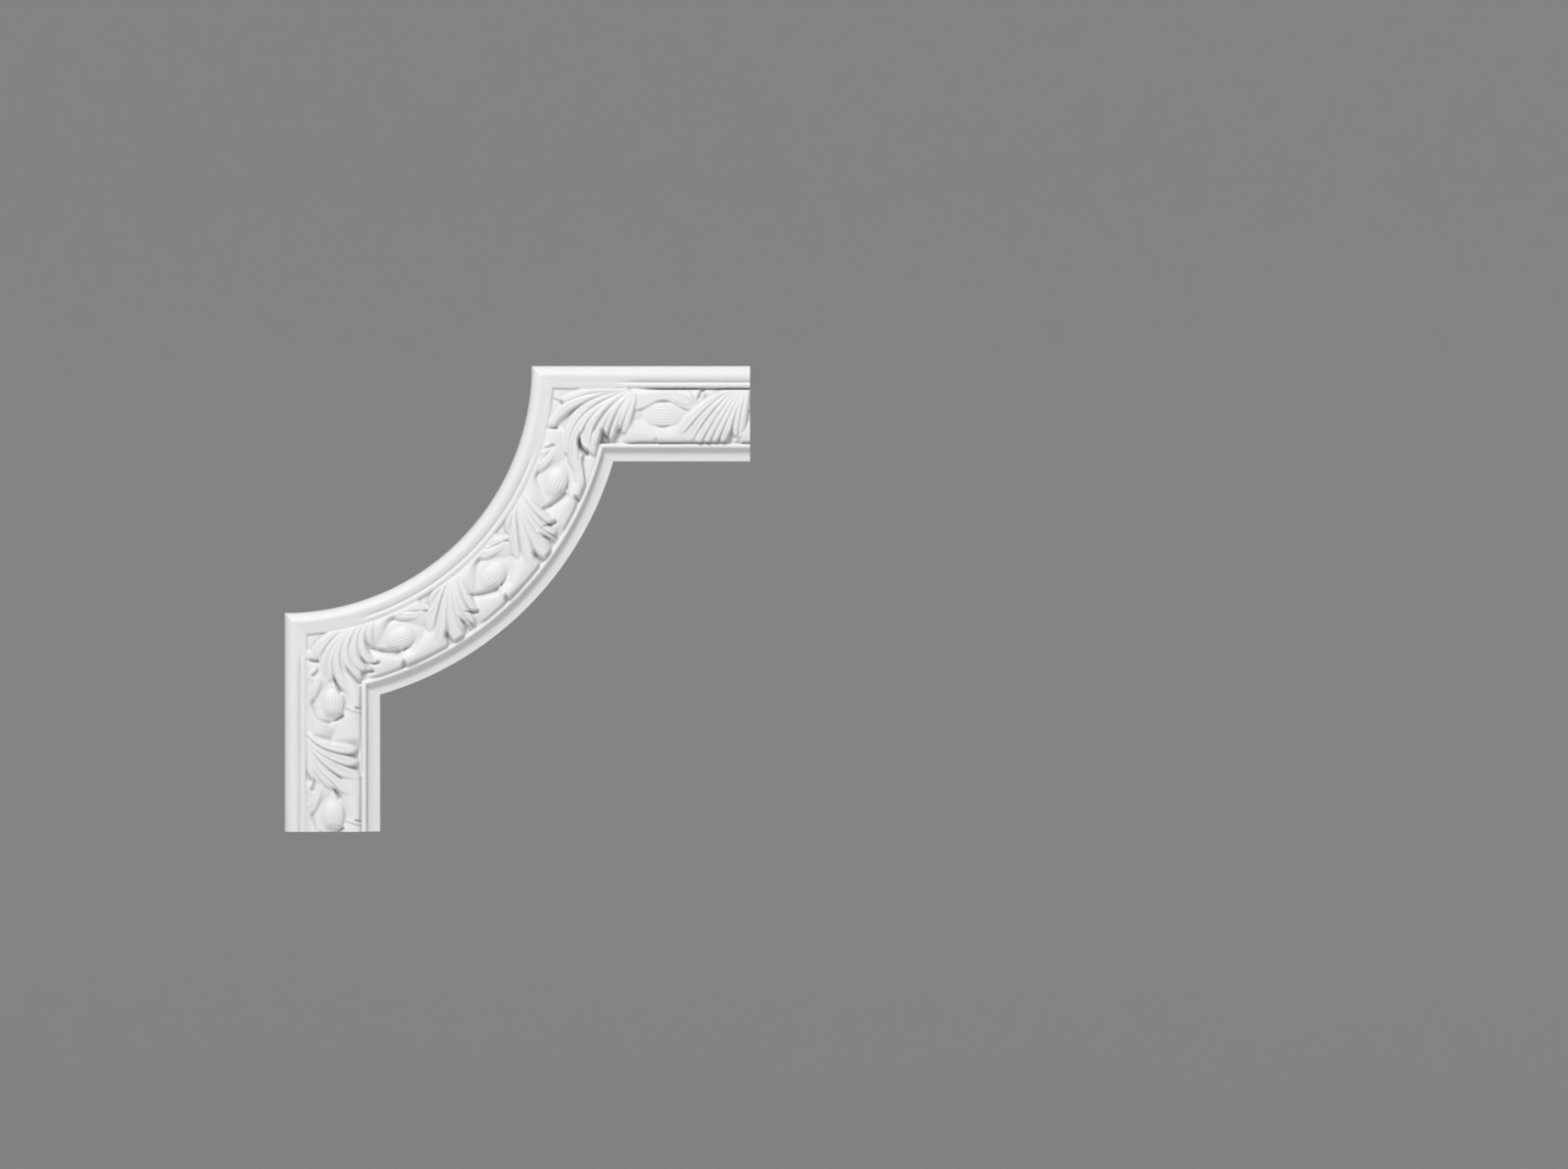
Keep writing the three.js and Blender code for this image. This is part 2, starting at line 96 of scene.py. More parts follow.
@dataclass(frozen=True)
class Section:
    """Section of the moulding in millimetres: places across the face and heights off the wall."""

    edge_height: float = 13.5
    bead_width: float = 10.0
    bead_rise: float = 3.4
    bead_lines: int = 10
    quirk_height: float = 16.6
    fillet_slope: float = 0.7
    outer_fillet_width: float = 2.6
    outer_fillet_height: float = 17.8
    floor: float = 13.0
    inner_fillet_width: float = 2.2
    inner_fillet_height: float = 15.2
    cove_width: float = 8.0
    cove_top: float = 13.4
    cove_foot: float = 10.6
    cove_lines: int = 8
    band_margin: float = 0.3
    inner_softening: float = 0.55
    outer_softening: float = 0.6
    outer_foot: float = 0.1
    inner_slopes: float = 1.5
    quirk_width: float = 0.4
    round_lines: int = 4
    band_step: float = 0.45
    profile_width: float = PROFILE_WIDTH

    @property
    def band_start(self) -> float:
        """Where the sunk band begins, from the outer edge."""
        return self.bead_width + 2 * self.fillet_slope + self.outer_fillet_width

    @property
    def band_width(self) -> float:
        """Width of the sunk band."""
        inner = self.cove_width + self.inner_slopes * self.fillet_slope + self.inner_fillet_width
        return self.profile_width - inner - self.band_start

    @property
    def band_end(self) -> float:
        """Where the sunk band ends."""
        return self.band_start + self.band_width

    def soft_fillet(self, start: float) -> list[Place]:
        """The outer fillet, rounded over from the quirk and down to the band.

        Args:
            start: Where its flat begins.

        Returns:
            Its lines as (across, height).
        """
        lines = []
        top, soft = self.outer_fillet_height, self.outer_softening
        reach = self.fillet_slope + soft
        for i in range(self.round_lines + 1):
            rise = (1 - math.cos(math.pi * i / self.round_lines)) / 2
            across = start - self.fillet_slope + self.quirk_width + reach * i / self.round_lines
            lines.append((across, top - (top - self.quirk_height) * (1 - rise)))
        end = start + self.outer_fillet_width
        return lines + [(end - soft, top), (end + self.outer_foot, top - soft)]

    def fillet(self, start: float, width: float, top: float) -> list[Place]:
        """A flat fillet with softened edges.

        Args:
            start: Where its flat begins.
            width: Width of the flat.
            top: Its height.

        Returns:
            Its lines as (across, height).
        """
        soft = self.inner_softening
        lines = [(start - soft / 2, top - soft), (start + soft, top)]
        return lines + [(start + width - soft, top), (start + width + soft / 2, top - soft)]

    def lines(self) -> list[Place]:
        """Lines that run along the moulding.

        Returns:
            Each line as (across, height), from the outer edge to the inner one.
        """
        lines = []
        for i in range(self.bead_lines + 1):
            turn = math.pi * i / self.bead_lines
            share = (1 - math.cos(turn)) / 2
            chord = self.edge_height + (self.quirk_height - self.edge_height) * share
            crown = (math.sin(turn) + math.sin(math.pi * share)) / 2
            lines.append((self.bead_width * share, chord + self.bead_rise * crown))
        outer = self.bead_width + self.fillet_slope
        lines += self.soft_fillet(outer)
        steps = round(self.band_width / self.band_step)
        for i in range(steps + 1):
            lines.append((self.band_start + self.band_width * i / steps, self.floor))
        inner = self.band_start + self.band_width + self.fillet_slope
        lines += self.fillet(inner, self.inner_fillet_width, self.inner_fillet_height)
        cove = self.profile_width - self.cove_width
        for i in range(self.cove_lines + 1):
            turn = math.pi / 2 * i / self.cove_lines
            across = cove + self.cove_width * (1 - math.cos(turn))
            lines.append((across, self.cove_top - (self.cove_top - self.cove_foot) * math.sin(turn)))
        return lines


def add_node(tree: bpy.types.NodeTree, kind: str, values: dict[str, float]) -> bpy.types.Node:
    """Adds a node to a tree and sets the inputs that are named."""
    node = tree.nodes.new(kind)
    for name, value in values.items():
        node.inputs[name].default_value = value
    return node


class Wire:
    """A number in a node tree that further nodes can be reckoned from."""

    def __init__(self, tree: bpy.types.NodeTree, socket: bpy.types.NodeSocket) -> None:
        """Wraps an output socket of the tree."""
        self.tree = tree
        self.socket = socket

    def reckon(self, operation: str, *others: "Wire | float", clamp: bool = False) -> "Wire":
        """Adds a math node.

        Args:
            operation: The math node's operation.
            others: Its further operands, wires or plain numbers.
            clamp: Whether the result stays between 0 and 1.

        Returns:
            The node's result.
        """
        node = self.tree.nodes.new("ShaderNodeMath")
        node.operation = operation
        node.use_clamp = clamp
        self.tree.links.new(self.socket, node.inputs[0])
        for place, other in enumerate(others, start=1):
            if isinstance(other, Wire):
                self.tree.links.new(other.socket, node.inputs[place])
            else:
                node.inputs[place].default_value = other
        return Wire(self.tree, node.outputs[0])

    def __add__(self, other: "Wire | float") -> "Wire":
        """Sum."""
        return self.reckon("ADD", other)

    def __sub__(self, other: "Wire | float") -> "Wire":
        """Difference."""
        return self.reckon("SUBTRACT", other)

    def __mul__(self, other: "Wire | float") -> "Wire":
        """Product."""
        return self.reckon("MULTIPLY", other)

    def __truediv__(self, other: "Wire | float") -> "Wire":
        """Quotient."""
        return self.reckon("DIVIDE", other)


@dataclass
class MouldingRun:
    """The plain moulding, laid along its run by a node tree.

    The run goes from the cut end of the upper arm (0) to the first mitre (1), round the arc to
    the second mitre (2), and down to the cut end of the left arm (3).
    """

    plan: Plan
    section: Section
    arm_stations: int = 215
    arc_stations: int = 445

    def stations(self) -> np.ndarray:
        """Places along the run at which it has a ring of points."""
        arm = np.linspace(0.0, 1.0, self.arm_stations, endpoint=False)
        arc = np.linspace(1.0, 2.0, self.arc_stations, endpoint=False)
        last = np.linspace(2.0, 3.0, self.arm_stations + 1)
        return np.concatenate([arm, arc, last])

    def ring(self) -> np.ndarray:
        """One closed ring of the section as rows of (across, height), in metres."""
        lines = self.section.lines()
        width = self.plan.profile_width
        return np.array([(0.0, 0.0), *lines, (width, 0.0)]) * MM

    def strip(self) -> bpy.types.Mesh:
        """Builds the flat strip that the node tree lays out.

        Returns:
            A closed mesh with its run, across and rise as attributes.
        """
        stations, ring = self.stations(), self.ring()
        count, sides = len(stations), len(ring)
        run = np.repeat(stations, sides)
        across = np.tile(ring[:, 0], count)
        rise = np.tile(ring[:, 1], count)
        first = np.arange(count * sides).reshape(count, sides)
        beside = np.roll(first, -1, axis=1)
        quads = np.stack([first[:-1], beside[:-1], beside[1:], first[1:]], axis=-1).reshape(-1, 4)
        faces = quads.tolist() + [first[0][::-1].tolist(), first[-1].tolist()]
        mesh = bpy.data.meshes.new("moulding_strip")
        mesh.from_pydata(np.stack([run, across, rise], axis=1).tolist(), [], faces)
        for name, values in (("run", run), ("across", across), ("rise", rise)):
            mesh.attributes.new(name, "FLOAT", "POINT").data.foreach_set("value", values)
        return mesh

    def tree(self, material: bpy.types.Material) -> bpy.types.NodeTree:
        """Builds the node tree that lays the strip along the run.

        Args:
            material: The finish that the tree sets.

        Returns:
            The tree, with the sizes of the plan as its named inputs.
        """
        tree = bpy.data.node_groups.new("moulding_run", "GeometryNodeTree")
        face = tree.interface
        face.new_socket("Strip", in_out="INPUT", socket_type="NodeSocketGeometry")
        for name in ("Cove Radius", "Overall Length", "Origin Offset"):
            face.new_socket(name, in_out="INPUT", socket_type="NodeSocketFloat")
        face.new_socket("Moulding", in_out="OUTPUT", socket_type="NodeSocketGeometry")
        inlet = tree.nodes.new("NodeGroupInput")
        outlet = tree.nodes.new("NodeGroupOutput")
        read: dict[str, Wire] = {}
        for name in ("run", "across", "rise"):
            node = tree.nodes.new("GeometryNodeInputNamedAttribute")
            node.data_type = "FLOAT"
            node.inputs["Name"].default_value = name
            read[name] = Wire(tree, node.outputs["Attribute"])
        radius = read["across"] + Wire(tree, inlet.outputs["Cove Radius"])
        mitre = (read["across"] / radius).reckon("ARCSINE")
        upper_share = read["run"].reckon("ADD", 0.0, clamp=True)
        arc_share = read["run"].reckon("SUBTRACT", 1.0, clamp=True)
        left_share = read["run"].reckon("SUBTRACT", 2.0, clamp=True)
        sweep = mitre * -2.0 + math.pi / 2
        angle = mitre + sweep * arc_share
        arm = Wire(tree, inlet.outputs["Overall Length"]) - radius * mitre.reckon("COSINE")
        right = radius * angle.reckon("COSINE") + arm * (upper_share * -1.0 + 1.0)
        below = radius * angle.reckon("SINE") + arm * left_share
        offset = Wire(tree, inlet.outputs["Origin Offset"])
        where = tree.nodes.new("ShaderNodeCombineXYZ")
        lay = tree.nodes.new("GeometryNodeSetPosition")
        realize = tree.nodes.new("GeometryNodeRealizeInstances")
        finish = tree.nodes.new("GeometryNodeSetMaterial")
        finish.inputs["Material"].default_value = material
        links = (
            ((right - offset).socket, where.inputs["X"]),
            ((read["rise"] * -1.0).socket, where.inputs["Y"]),
            ((offset - below).socket, where.inputs["Z"]),
            (inlet.outputs["Strip"], lay.inputs["Geometry"]),
            (where.outputs["Vector"], lay.inputs["Position"]),
            (lay.outputs["Geometry"], realize.inputs["Geometry"]),
            (realize.outputs["Geometry"], finish.inputs["Geometry"]),
            (finish.outputs["Geometry"], outlet.inputs["Moulding"]),
        )
        for source, target in links:
            tree.links.new(source, target)
        return tree

    def build(self, name: str, material: bpy.types.Material) -> bpy.types.Object:
        """Lays the strip along the run and keeps the result as a plain mesh.

        Args:
            name: Name of the piece.
            material: Its finish.

        Returns:
            The plain moulding as a closed piece, with no modifier left on it.
        """
        strip = bpy.data.objects.new(name, self.strip())
        bpy.context.scene.collection.objects.link(strip)
        modifier = strip.modifiers.new("run", "NODES")
        modifier.node_group = self.tree(material)
        sizes = {
            "Cove Radius": self.plan.cove_radius * MM,
            "Overall Length": self.plan.end * MM,
            "Origin Offset": self.plan.middle * MM,
        }
        for item in modifier.node_group.interface.items_tree:
            if item.name in sizes:
                modifier[item.identifier] = sizes[item.name]
        graph = bpy.context.evaluated_depsgraph_get()
        mesh = bpy.data.meshes.new_from_object(strip.evaluated_get(graph))
        strip.modifiers.clear()
        strip.data = mesh
        mesh.name = name
        return strip


@dataclass(frozen=True)
class Lobe:
    """A lobe of a leaf, drawn in millimetres as root, middle and tip of its crest line."""

    root: Place
    middle: Place
    tip: Place
    half: float

    def line(self, fit: Callable[[Place], Place], steps: int = 26) -> np.ndarray:
        """Points along the crest line.

        Args:
            fit: Turns a drawn place into a true one.
            steps: How many points.

        Returns:
            Rows of true places.
        """
        root, middle, tip = (np.array(fit(p)) for p in (self.root, self.middle, self.tip))
        pull = 2 * middle - (root + tip) / 2
        u = np.linspace(0, 1, steps)[:, None]
        return (1 - u) ** 2 * root + 2 * u * (1 - u) * pull + u**2 * tip

    def widening(self, along: np.ndarray) -> np.ndarray:
        """Half width of a cut that widens from its root to its tip."""
        return self.half * (CUT_ROOT_SHARE + (1 - CUT_ROOT_SHARE) * along)


@dataclass(frozen=True)
class Notch(Lobe):
    """A pocket or crease cut into the ornament: it opens from its root to its tip."""

    depth: float
    bottom: float = 13.0
    full_depth_at: float = 0.45
    wall_reach: float = 1.2

    def cut(self, distance: np.ndarray, along: np.ndarray) -> np.ndarray:
        """How deep it is cut.

        Args:
            distance: Distance of each point from its line.
            along: Share of the way along that line.

        Returns:
            The depth at each point.
        """
        deepening = CUT_ROOT_SHARE + (1 - CUT_ROOT_SHARE) * ease(along, 0, self.full_depth_at)
        return self.depth * deepening * (1 - ease(distance / self.widening(along), 0, self.wall_reach))


@dataclass(frozen=True)
class Flat(Lobe):
    """A flat place beside the ornament: it widens from its root to its tip."""

    level: float
    edge: Place = (0.85, 1.15)

    def share(self, distance: np.ndarray, along: np.ndarray) -> np.ndarray:
        """How far each point belongs to it, from 0 to 1."""
        return 1 - ease(distance / self.widening(along), *self.edge)


@dataclass(frozen=True)
class Ribbon:
    """A ribbon beside a bud, drawn by where it starts and ends along the run.

    One that laps over the next is lifted by its repeat's lap instead of its own lift.
    """

    side: Side
    start: float
    end: float
    lift: float
    laps: bool


@dataclass(frozen=True)
class BudForm:
    """A bud or the husk round it; its half widths are measured from the stem line."""

    length: float
    outer_half: float
    inner_half: float
    height: float
    ribs: int = 0
    rib_fade: float = 1.0
    side_rise: float = 0.56

    def half(self, side: float | np.ndarray) -> np.ndarray:
        """Half width on a side: negative towards the outer edge."""
        return np.where(np.asarray(side) < 0, self.outer_half, self.inner_half)


@dataclass(frozen=True)
class Repeat:
    """What one stretch of the moulding repeats: bud, husk, leaves and the cuts in them."""

    bud: BudForm
    husk: BudForm | None
    neck_half: float
    ribbon_edge: float
    lap: float
    edge_gap: float
    leaf: tuple[Lobe, ...]
    side_leaf: tuple[Lobe, ...]
    leaf_notches: tuple[Notch, ...]
    bud_notches: tuple[Notch, ...]


FLAT_BUD = BudForm(31.0, 7.6, 7.6, 18.6, ribs=8, rib_fade=8.0, side_rise=0.76)
HUSKED_BUD = BudForm(20.0, 6.2, 7.4, 20.0, ribs=7)
HUSK = BudForm(39.0, 11.8, 7.4, 17.7)
RIBBONS = (
    Ribbon(Side.OUTER, -24, 27, 0.6, False),
    Ribbon(Side.INNER, -27, 4.6, 0.0, True),
    Ribbon(Side.INNER, -2, 30, 0.0, False),
)
UPPER_ARM = Repeat(
    bud=FLAT_BUD,
    husk=None,
    neck_half=2.8,
    ribbon_edge=17.9,
    lap=0.2,
    edge_gap=1.3,
    leaf=(
        Lobe((-44, 0.8), (-25.5, 12), (-9, 29), 3.7),
        Lobe((-45, 0.8), (-27, 16.5), (-17, 32), 3.4),
        Lobe((-46, 0.8), (-31.5, 18.5), (-22, 33.8), 3.0),
        Lobe((-47.5, 0.8), (-35.5, 19.2), (-27, 34.2), 2.7),
        Lobe((-49, 0.8), (-39.7, 18.5), (-32, 33.2), 2.5),
        Lobe((-50.3, 0.8), (-43.2, 18.8), (-37, 33.8), 2.5),
        Lobe((-51.6, 0.8), (-47.5, 16.2), (-45.6, 29.6), 2.5),
        Lobe((-53, 0.8), (-51.3, 14.2), (-49, 27.5), 2.3),
    ),
    side_leaf=(
        Lobe((-20, 11.5), (-11, 6.6), (-3, 2.2), 3.5),
        Lobe((-20.5, 11), (-15.8, 5.6), (-12, 1.8), 3.5),
        Lobe((-21.5, 10.5), (-22, 6), (-22, 1.8), 3.3),
    ),
    leaf_notches=(
        Notch((-41.8, 28), (-41.4, 31), (-41, 35), 1.6, 3.0),
        Notch((-49.6, 30), (-48.4, 32), (-47, 35), 1.6, 2.0),
    ),
    bud_notches=(
        Notch((4.6, 31.6), (4.9, 33), (5.2, 34.4), 1.2, 2.6),
        Notch((-21, 9), (-22.8, 5), (-24.8, 0.8), 1.5, 4.0),
    ),
)
ARC = Repeat(
    bud=HUSKED_BUD,
    husk=HUSK,
    neck_half=0.3,
    ribbon_edge=16.2,
    lap=1.0,
    edge_gap=0.35,
    leaf=(
        Lobe((-47, 1), (-32.5, 14.5), (-18.5, 31), 3.6),
        Lobe((-45, 0.8), (-29.5, 9), (-18.5, 20.5), 3.2),
        Lobe((-42, 0.8), (-33.5, 2.9), (-27, 6), 2.2),
        Lobe((-48.5, 1.4), (-36.6, 16.6), (-30.6, 35.6), 4.6),
        Lobe((-50, 1.6), (-40.5, 17.3), (-39.4, 32), 2.4),
        Lobe((-51.5, 2), (-44.2, 16.4), (-43.4, 30.6), 2.4),
        Lobe((-54, 2.6), (-49.4, 14.2), (-48.2, 26.6), 2.7),
    ),
    side_leaf=(
        Lobe((-20.5, 10), (-11.5, 5.8), (-2, 1.6), 3.2),
        Lobe((-24.5, 7.5), (-18.5, 4.4), (-11, 1.4), 2.8),
    ),
    leaf_notches=(
        Notch((-42.8, 22.4), (-45.6, 25), (-48.6, 27.4), 1.7, 4.5),
        Notch((-38, 23), (-38.4, 28.5), (-38.7, 34.4), 2.2, 5.0),
        Notch((-26.2, 26), (-25.9, 30), (-25.4, 34.4), 1.9, 5.0),
    ),
    bud_notches=(
        Notch((3, 30.6), (3.9, 32.6), (4.9, 34.8), 1.9, 4.5),
        Notch((20, 16), (12.5, 21), (5.5, 24), 3.2, 3.6),
        Notch((-16, 19), (-10, 23.5), (-4, 28), 1.5, 0.9),
        Notch((-2.4, 22.8), (1, 25), (4, 27.4), 1.2, 1.2),
        Notch((-21, 6.9), (-16.5, 5.9), (-9, 3), 1.4, 0.4),
    ),
)
LEFT_ARM = replace(
    ARC,
    leaf=(
        Lobe((-42.5, 0.8), (-26.5, 12.8), (-12.5, 32), 3.4),
        Lobe((-40, 0.8), (-28.5, 6.2), (-18, 16.5), 2.6),
        Lobe((-37.5, 0.8), (-29, 2.8), (-20.5, 8.4), 2.4),
        Lobe((-45, 0.8), (-32.8, 14.8), (-24.5, 33), 3.6),
        Lobe((-48, 0.8), (-39.2, 11.8), (-33.8, 31), 3.2),
        Lobe((-52, 0.8), (-44.6, 12.5), (-41.8, 30.5), 3.2),
    ),
    leaf_notches=(
        Notch((-36.4, 29), (-36.9, 31.5), (-37.4, 35), 1.6, 3.4),
        Notch((-18.4, 16.9), (-15, 18.8), (-11.6, 21), 1.8, 3.6),
        Notch((-24, 4.6), (-20, 5.2), (-16.5, 3.9), 1.7, 3.2),
    ),
    bud_notches=(
        Notch((-0.6, 5), (8.8, 7.4), (12.2, 14.8), 1.5, 1.8),
        Notch((25, 16.4), (18, 16.4), (10.5, 16.4), 6.0, 1.5),
        Notch((12, 16), (10.4, 19), (8.2, 22.6), 1.8, 3.4),
        Notch((2.6, 30.5), (3, 32), (3.4, 34), 1.1, 3.0),
    ),
)
UPPER_CORNER_LEAF = (
    Lobe((32.8, -15.2), (11, -14.2), (-8.8, -9), 2.6),
    Lobe((29.1, -14.3), (-0.8, -7.2), (-15.7, 8.4), 3.2),
    Lobe((30.9, -14), (3.6, -1.2), (-6.6, 23.6), 3.2),
    Lobe((32.2, -14), (0.9, 10.9), (5, 41), 3.7),
    Lobe((33.4, -13.8), (13, 1.6), (7.4, 21.6), 2.9),
    Lobe((34.7, -13.8), (19.8, 2.1), (11.7, 19.5), 2.5),
    Lobe((35.6, -13.5), (24.7, -1.6), (19.1, 12.1), 2.2),
    Lobe((36.2, -13.5), (28.5, -0.4), (22.5, 15.2), 2.0),
    Lobe((37.1, -13.5), (31.5, -1.6), (27.2, 9), 1.9),
    Lobe((38, -13.5), (34.7, -1), (30.6, 11.5), 2.4),
)
UPPER_CORNER_NOTCHES = (
    Notch((17, 10.2), (18, 14.6), (19.2, 20.6), 4.3, 9.0, bottom=9.0),
    Notch((3.2, 12), (2.6, 19.4), (7, 24.6), 2.2, 8.0, bottom=10.5),
    Notch((27.4, 7.4), (27.3, 10.6), (27.2, 14), 1.6, 3.4),
    Notch((-19.3, 9), (-15.6, 9), (-11.9, 9), 1.3, 3.0),
    Notch((-23.6, 22.6), (-18.4, 21.6), (-13.7, 20.1), 1.3, 2.6),
    Notch((-15, -10.2), (-12, -8.8), (-8.8, -7.1), 1.2, 2.0),
)
UPPER_CORNER_FLATS = (Flat((7.6, 44), (8.2, 37), (8.6, 29.6), 4.6, 15.1),)
LOWER_CORNER_LEAF = (
    Lobe((7.6, -17.4), (-4, -10), (-12.4, 1.6), 3.6),
    Lobe((9.3, -17.8), (-2, -4), (-5, 11), 2.6),
    Lobe((11.3, -18.3), (0, -1.4), (-1, 14.6), 2.8),
    Lobe((13.2, -18.7), (2.6, 2), (10.6, 21.6), 3.3),
    Lobe((15.2, -19.3), (7.8, -1), (16.6, 13.6), 2.9),
    Lobe((18.2, -19.9), (13.6, -3.4), (20.6, 7.6), 2.8),
    Lobe((21.6, -21), (18.8, -6.4), (26, 3), 2.6),
    Lobe((25.6, -22), (23.6, -14), (25.6, -8), 2.4),
)
LOWER_CORNER_NOTCHES = (
    Notch((-16.7, 1.4), (-13, 2.4), (-9.3, 2.7), 1.6, 4.0),
    Notch((-8.7, 6.4), (-9.6, 9.4), (-11.8, 11.9), 1.4, 3.0),
    Notch((-18.6, 16.6), (-18, 17.6), (-17.4, 18.6), 1.1, 3.0),
    Notch((6.8, 2.7), (10.8, 9.6), (17, 16.4), 1.7, 3.6),
    Notch((19.3, 8.4), (22, 9.2), (25.2, 9), 1.6, 4.6),
    Notch((23.8, 3.4), (26.4, 4.2), (29.4, 3.4), 1.4, 3.6),
    Notch((0.4, 11.4), (2.4, 16.4), (5, 21.4), 1.6, 3.8),
)


def nearest(points: np.ndarray, line: np.ndarray) -> tuple[np.ndarray, np.ndarray]:
    """Finds the nearest place on a line of points.

    Args:
        points: Rows of places.
        line: Rows of places along the line.

    Returns:
        For each point its distance, and its share of the way along the line.
    """
    start, step = line[:-1], np.diff(line, axis=0)
    length = np.hypot(step[:, 0], step[:, 1])
    away = points[:, None, :] - start[None]
    share = np.clip((away * step).sum(-1) / length**2, 0, 1)
    gap = away - share[..., None] * step
    distance = np.hypot(gap[..., 0], gap[..., 1])
    best = distance.argmin(axis=1)
    rows = np.arange(len(points))
    before = np.concatenate([[0], np.cumsum(length)])
    along = (before[best] + share[rows, best] * length[best]) / before[-1]
    return distance[rows, best], along


def within(points: np.ndarray, lines: Sequence[np.ndarray], margin: float) -> np.ndarray:
    """Finds the points in the box round some lines.

    Args:
        points: Rows of places.
        lines: Each as rows of places.
        margin: How much further the box reaches on every side.

    Returns:
        The numbers of those points.
    """
    places = np.concatenate(lines)
    low, high = places.min(axis=0) - margin, places.max(axis=0) + margin
    return np.flatnonzero(((points > low) & (points < high)).all(axis=1))


def ease(value: np.ndarray, start: float, end: float) -> np.ndarray:
    """Eases from 0 where the value is at the start to 1 where it is at the end."""
    share = np.clip((value - start) / (end - start), 0, 1)
    return share * share * (3 - 2 * share)


def hump(value: np.ndarray, width: float) -> np.ndarray:
    """A soft hump, 1 where the value is 0 and gone a few widths away."""
    return np.exp(-((value / width) ** 2))


@dataclass(frozen=True)
class LeafCut:
    """How the lobes of a leaf are cut, in millimetres and shares."""

    height: float = 20.45
    root_share: float = 0.5
    tip_share: float = 0.42
    full_at: float = 0.68
    spread: float = 1.2
    side_share: float = 0.55
    crown_power: float = 4.0
    arch_start: float = 0.28
    arch_turn: float = 0.44
    wall_slope: float = 5.0
    groove_depth: float = 1.9
    groove_half: float = 0.55
    rim_height: float = 0.3
    rim_at: float = 1.2
    rim_half: float = 0.5
    scoop_depth: float = 0.7
    full_spacing: float = 4.2
    least_spacing: float = 1e-6
    spacing_power: float = 1.5
    shown_from: Place = (1.0, 3.5)

    def width(self, along: np.ndarray) -> np.ndarray:
        """Half width of a lobe as a share of its full one: narrow root, rounded tip."""
        before = np.sin(np.pi / 2 * np.clip(along / self.full_at, 0, 1))
        after = np.sqrt(1 - np.clip((along - self.full_at) / (1 - self.full_at), 0, 1) ** 2)
        rising = self.root_share + (1 - self.root_share) * before
        return np.where(along < self.full_at, rising, self.tip_share + (1 - self.tip_share) * after)

    def body(self, distance: np.ndarray, along: np.ndarray, half: float, floor: float) -> np.ndarray:
        """Height of one lobe, without the cuts between it and the next.

        Args:
            distance: Distance of each point from the lobe's crest line.
            along: Share of the way along that line.
            half: The lobe's full half width.
            floor: Height of the sunk band.

        Returns:
            The lobe's height at each point.
        """
        width = self.width(along) * half * self.spread
        crest = (self.height - floor) * np.sin(np.pi * (self.arch_start + self.arch_turn * along))
        share = np.clip(distance / width, 0, 1)
        crown = 1 - (1 - self.side_share) * share**self.crown_power
        return floor + crest * crown - np.clip(distance - width, 0, None) * self.wall_slope

    def cuts(self, first: np.ndarray, second: np.ndarray) -> np.ndarray:
        """Cuts a groove between neighbouring lobes, a rim on either side of it and a scoop.

        Args:
            first: Distance of each point from the nearest crest line.
            second: Distance from the next nearest.

        Returns:
            What is added to the height of the leaf.
        """
        beside = (second - first) / 2
        spacing = np.clip((first + second) / self.full_spacing, 0, 1)
        across = 2 * first / np.maximum(first + second, self.least_spacing)
        groove = self.groove_depth * hump(beside, self.groove_half)
        rim = self.rim_height * hump(beside - self.rim_at, self.rim_half)
        scoop = self.scoop_depth * (1 - np.clip(across, 0, 1) ** 2) ** 2
        return (rim - groove - scoop) * spacing**self.spacing_power


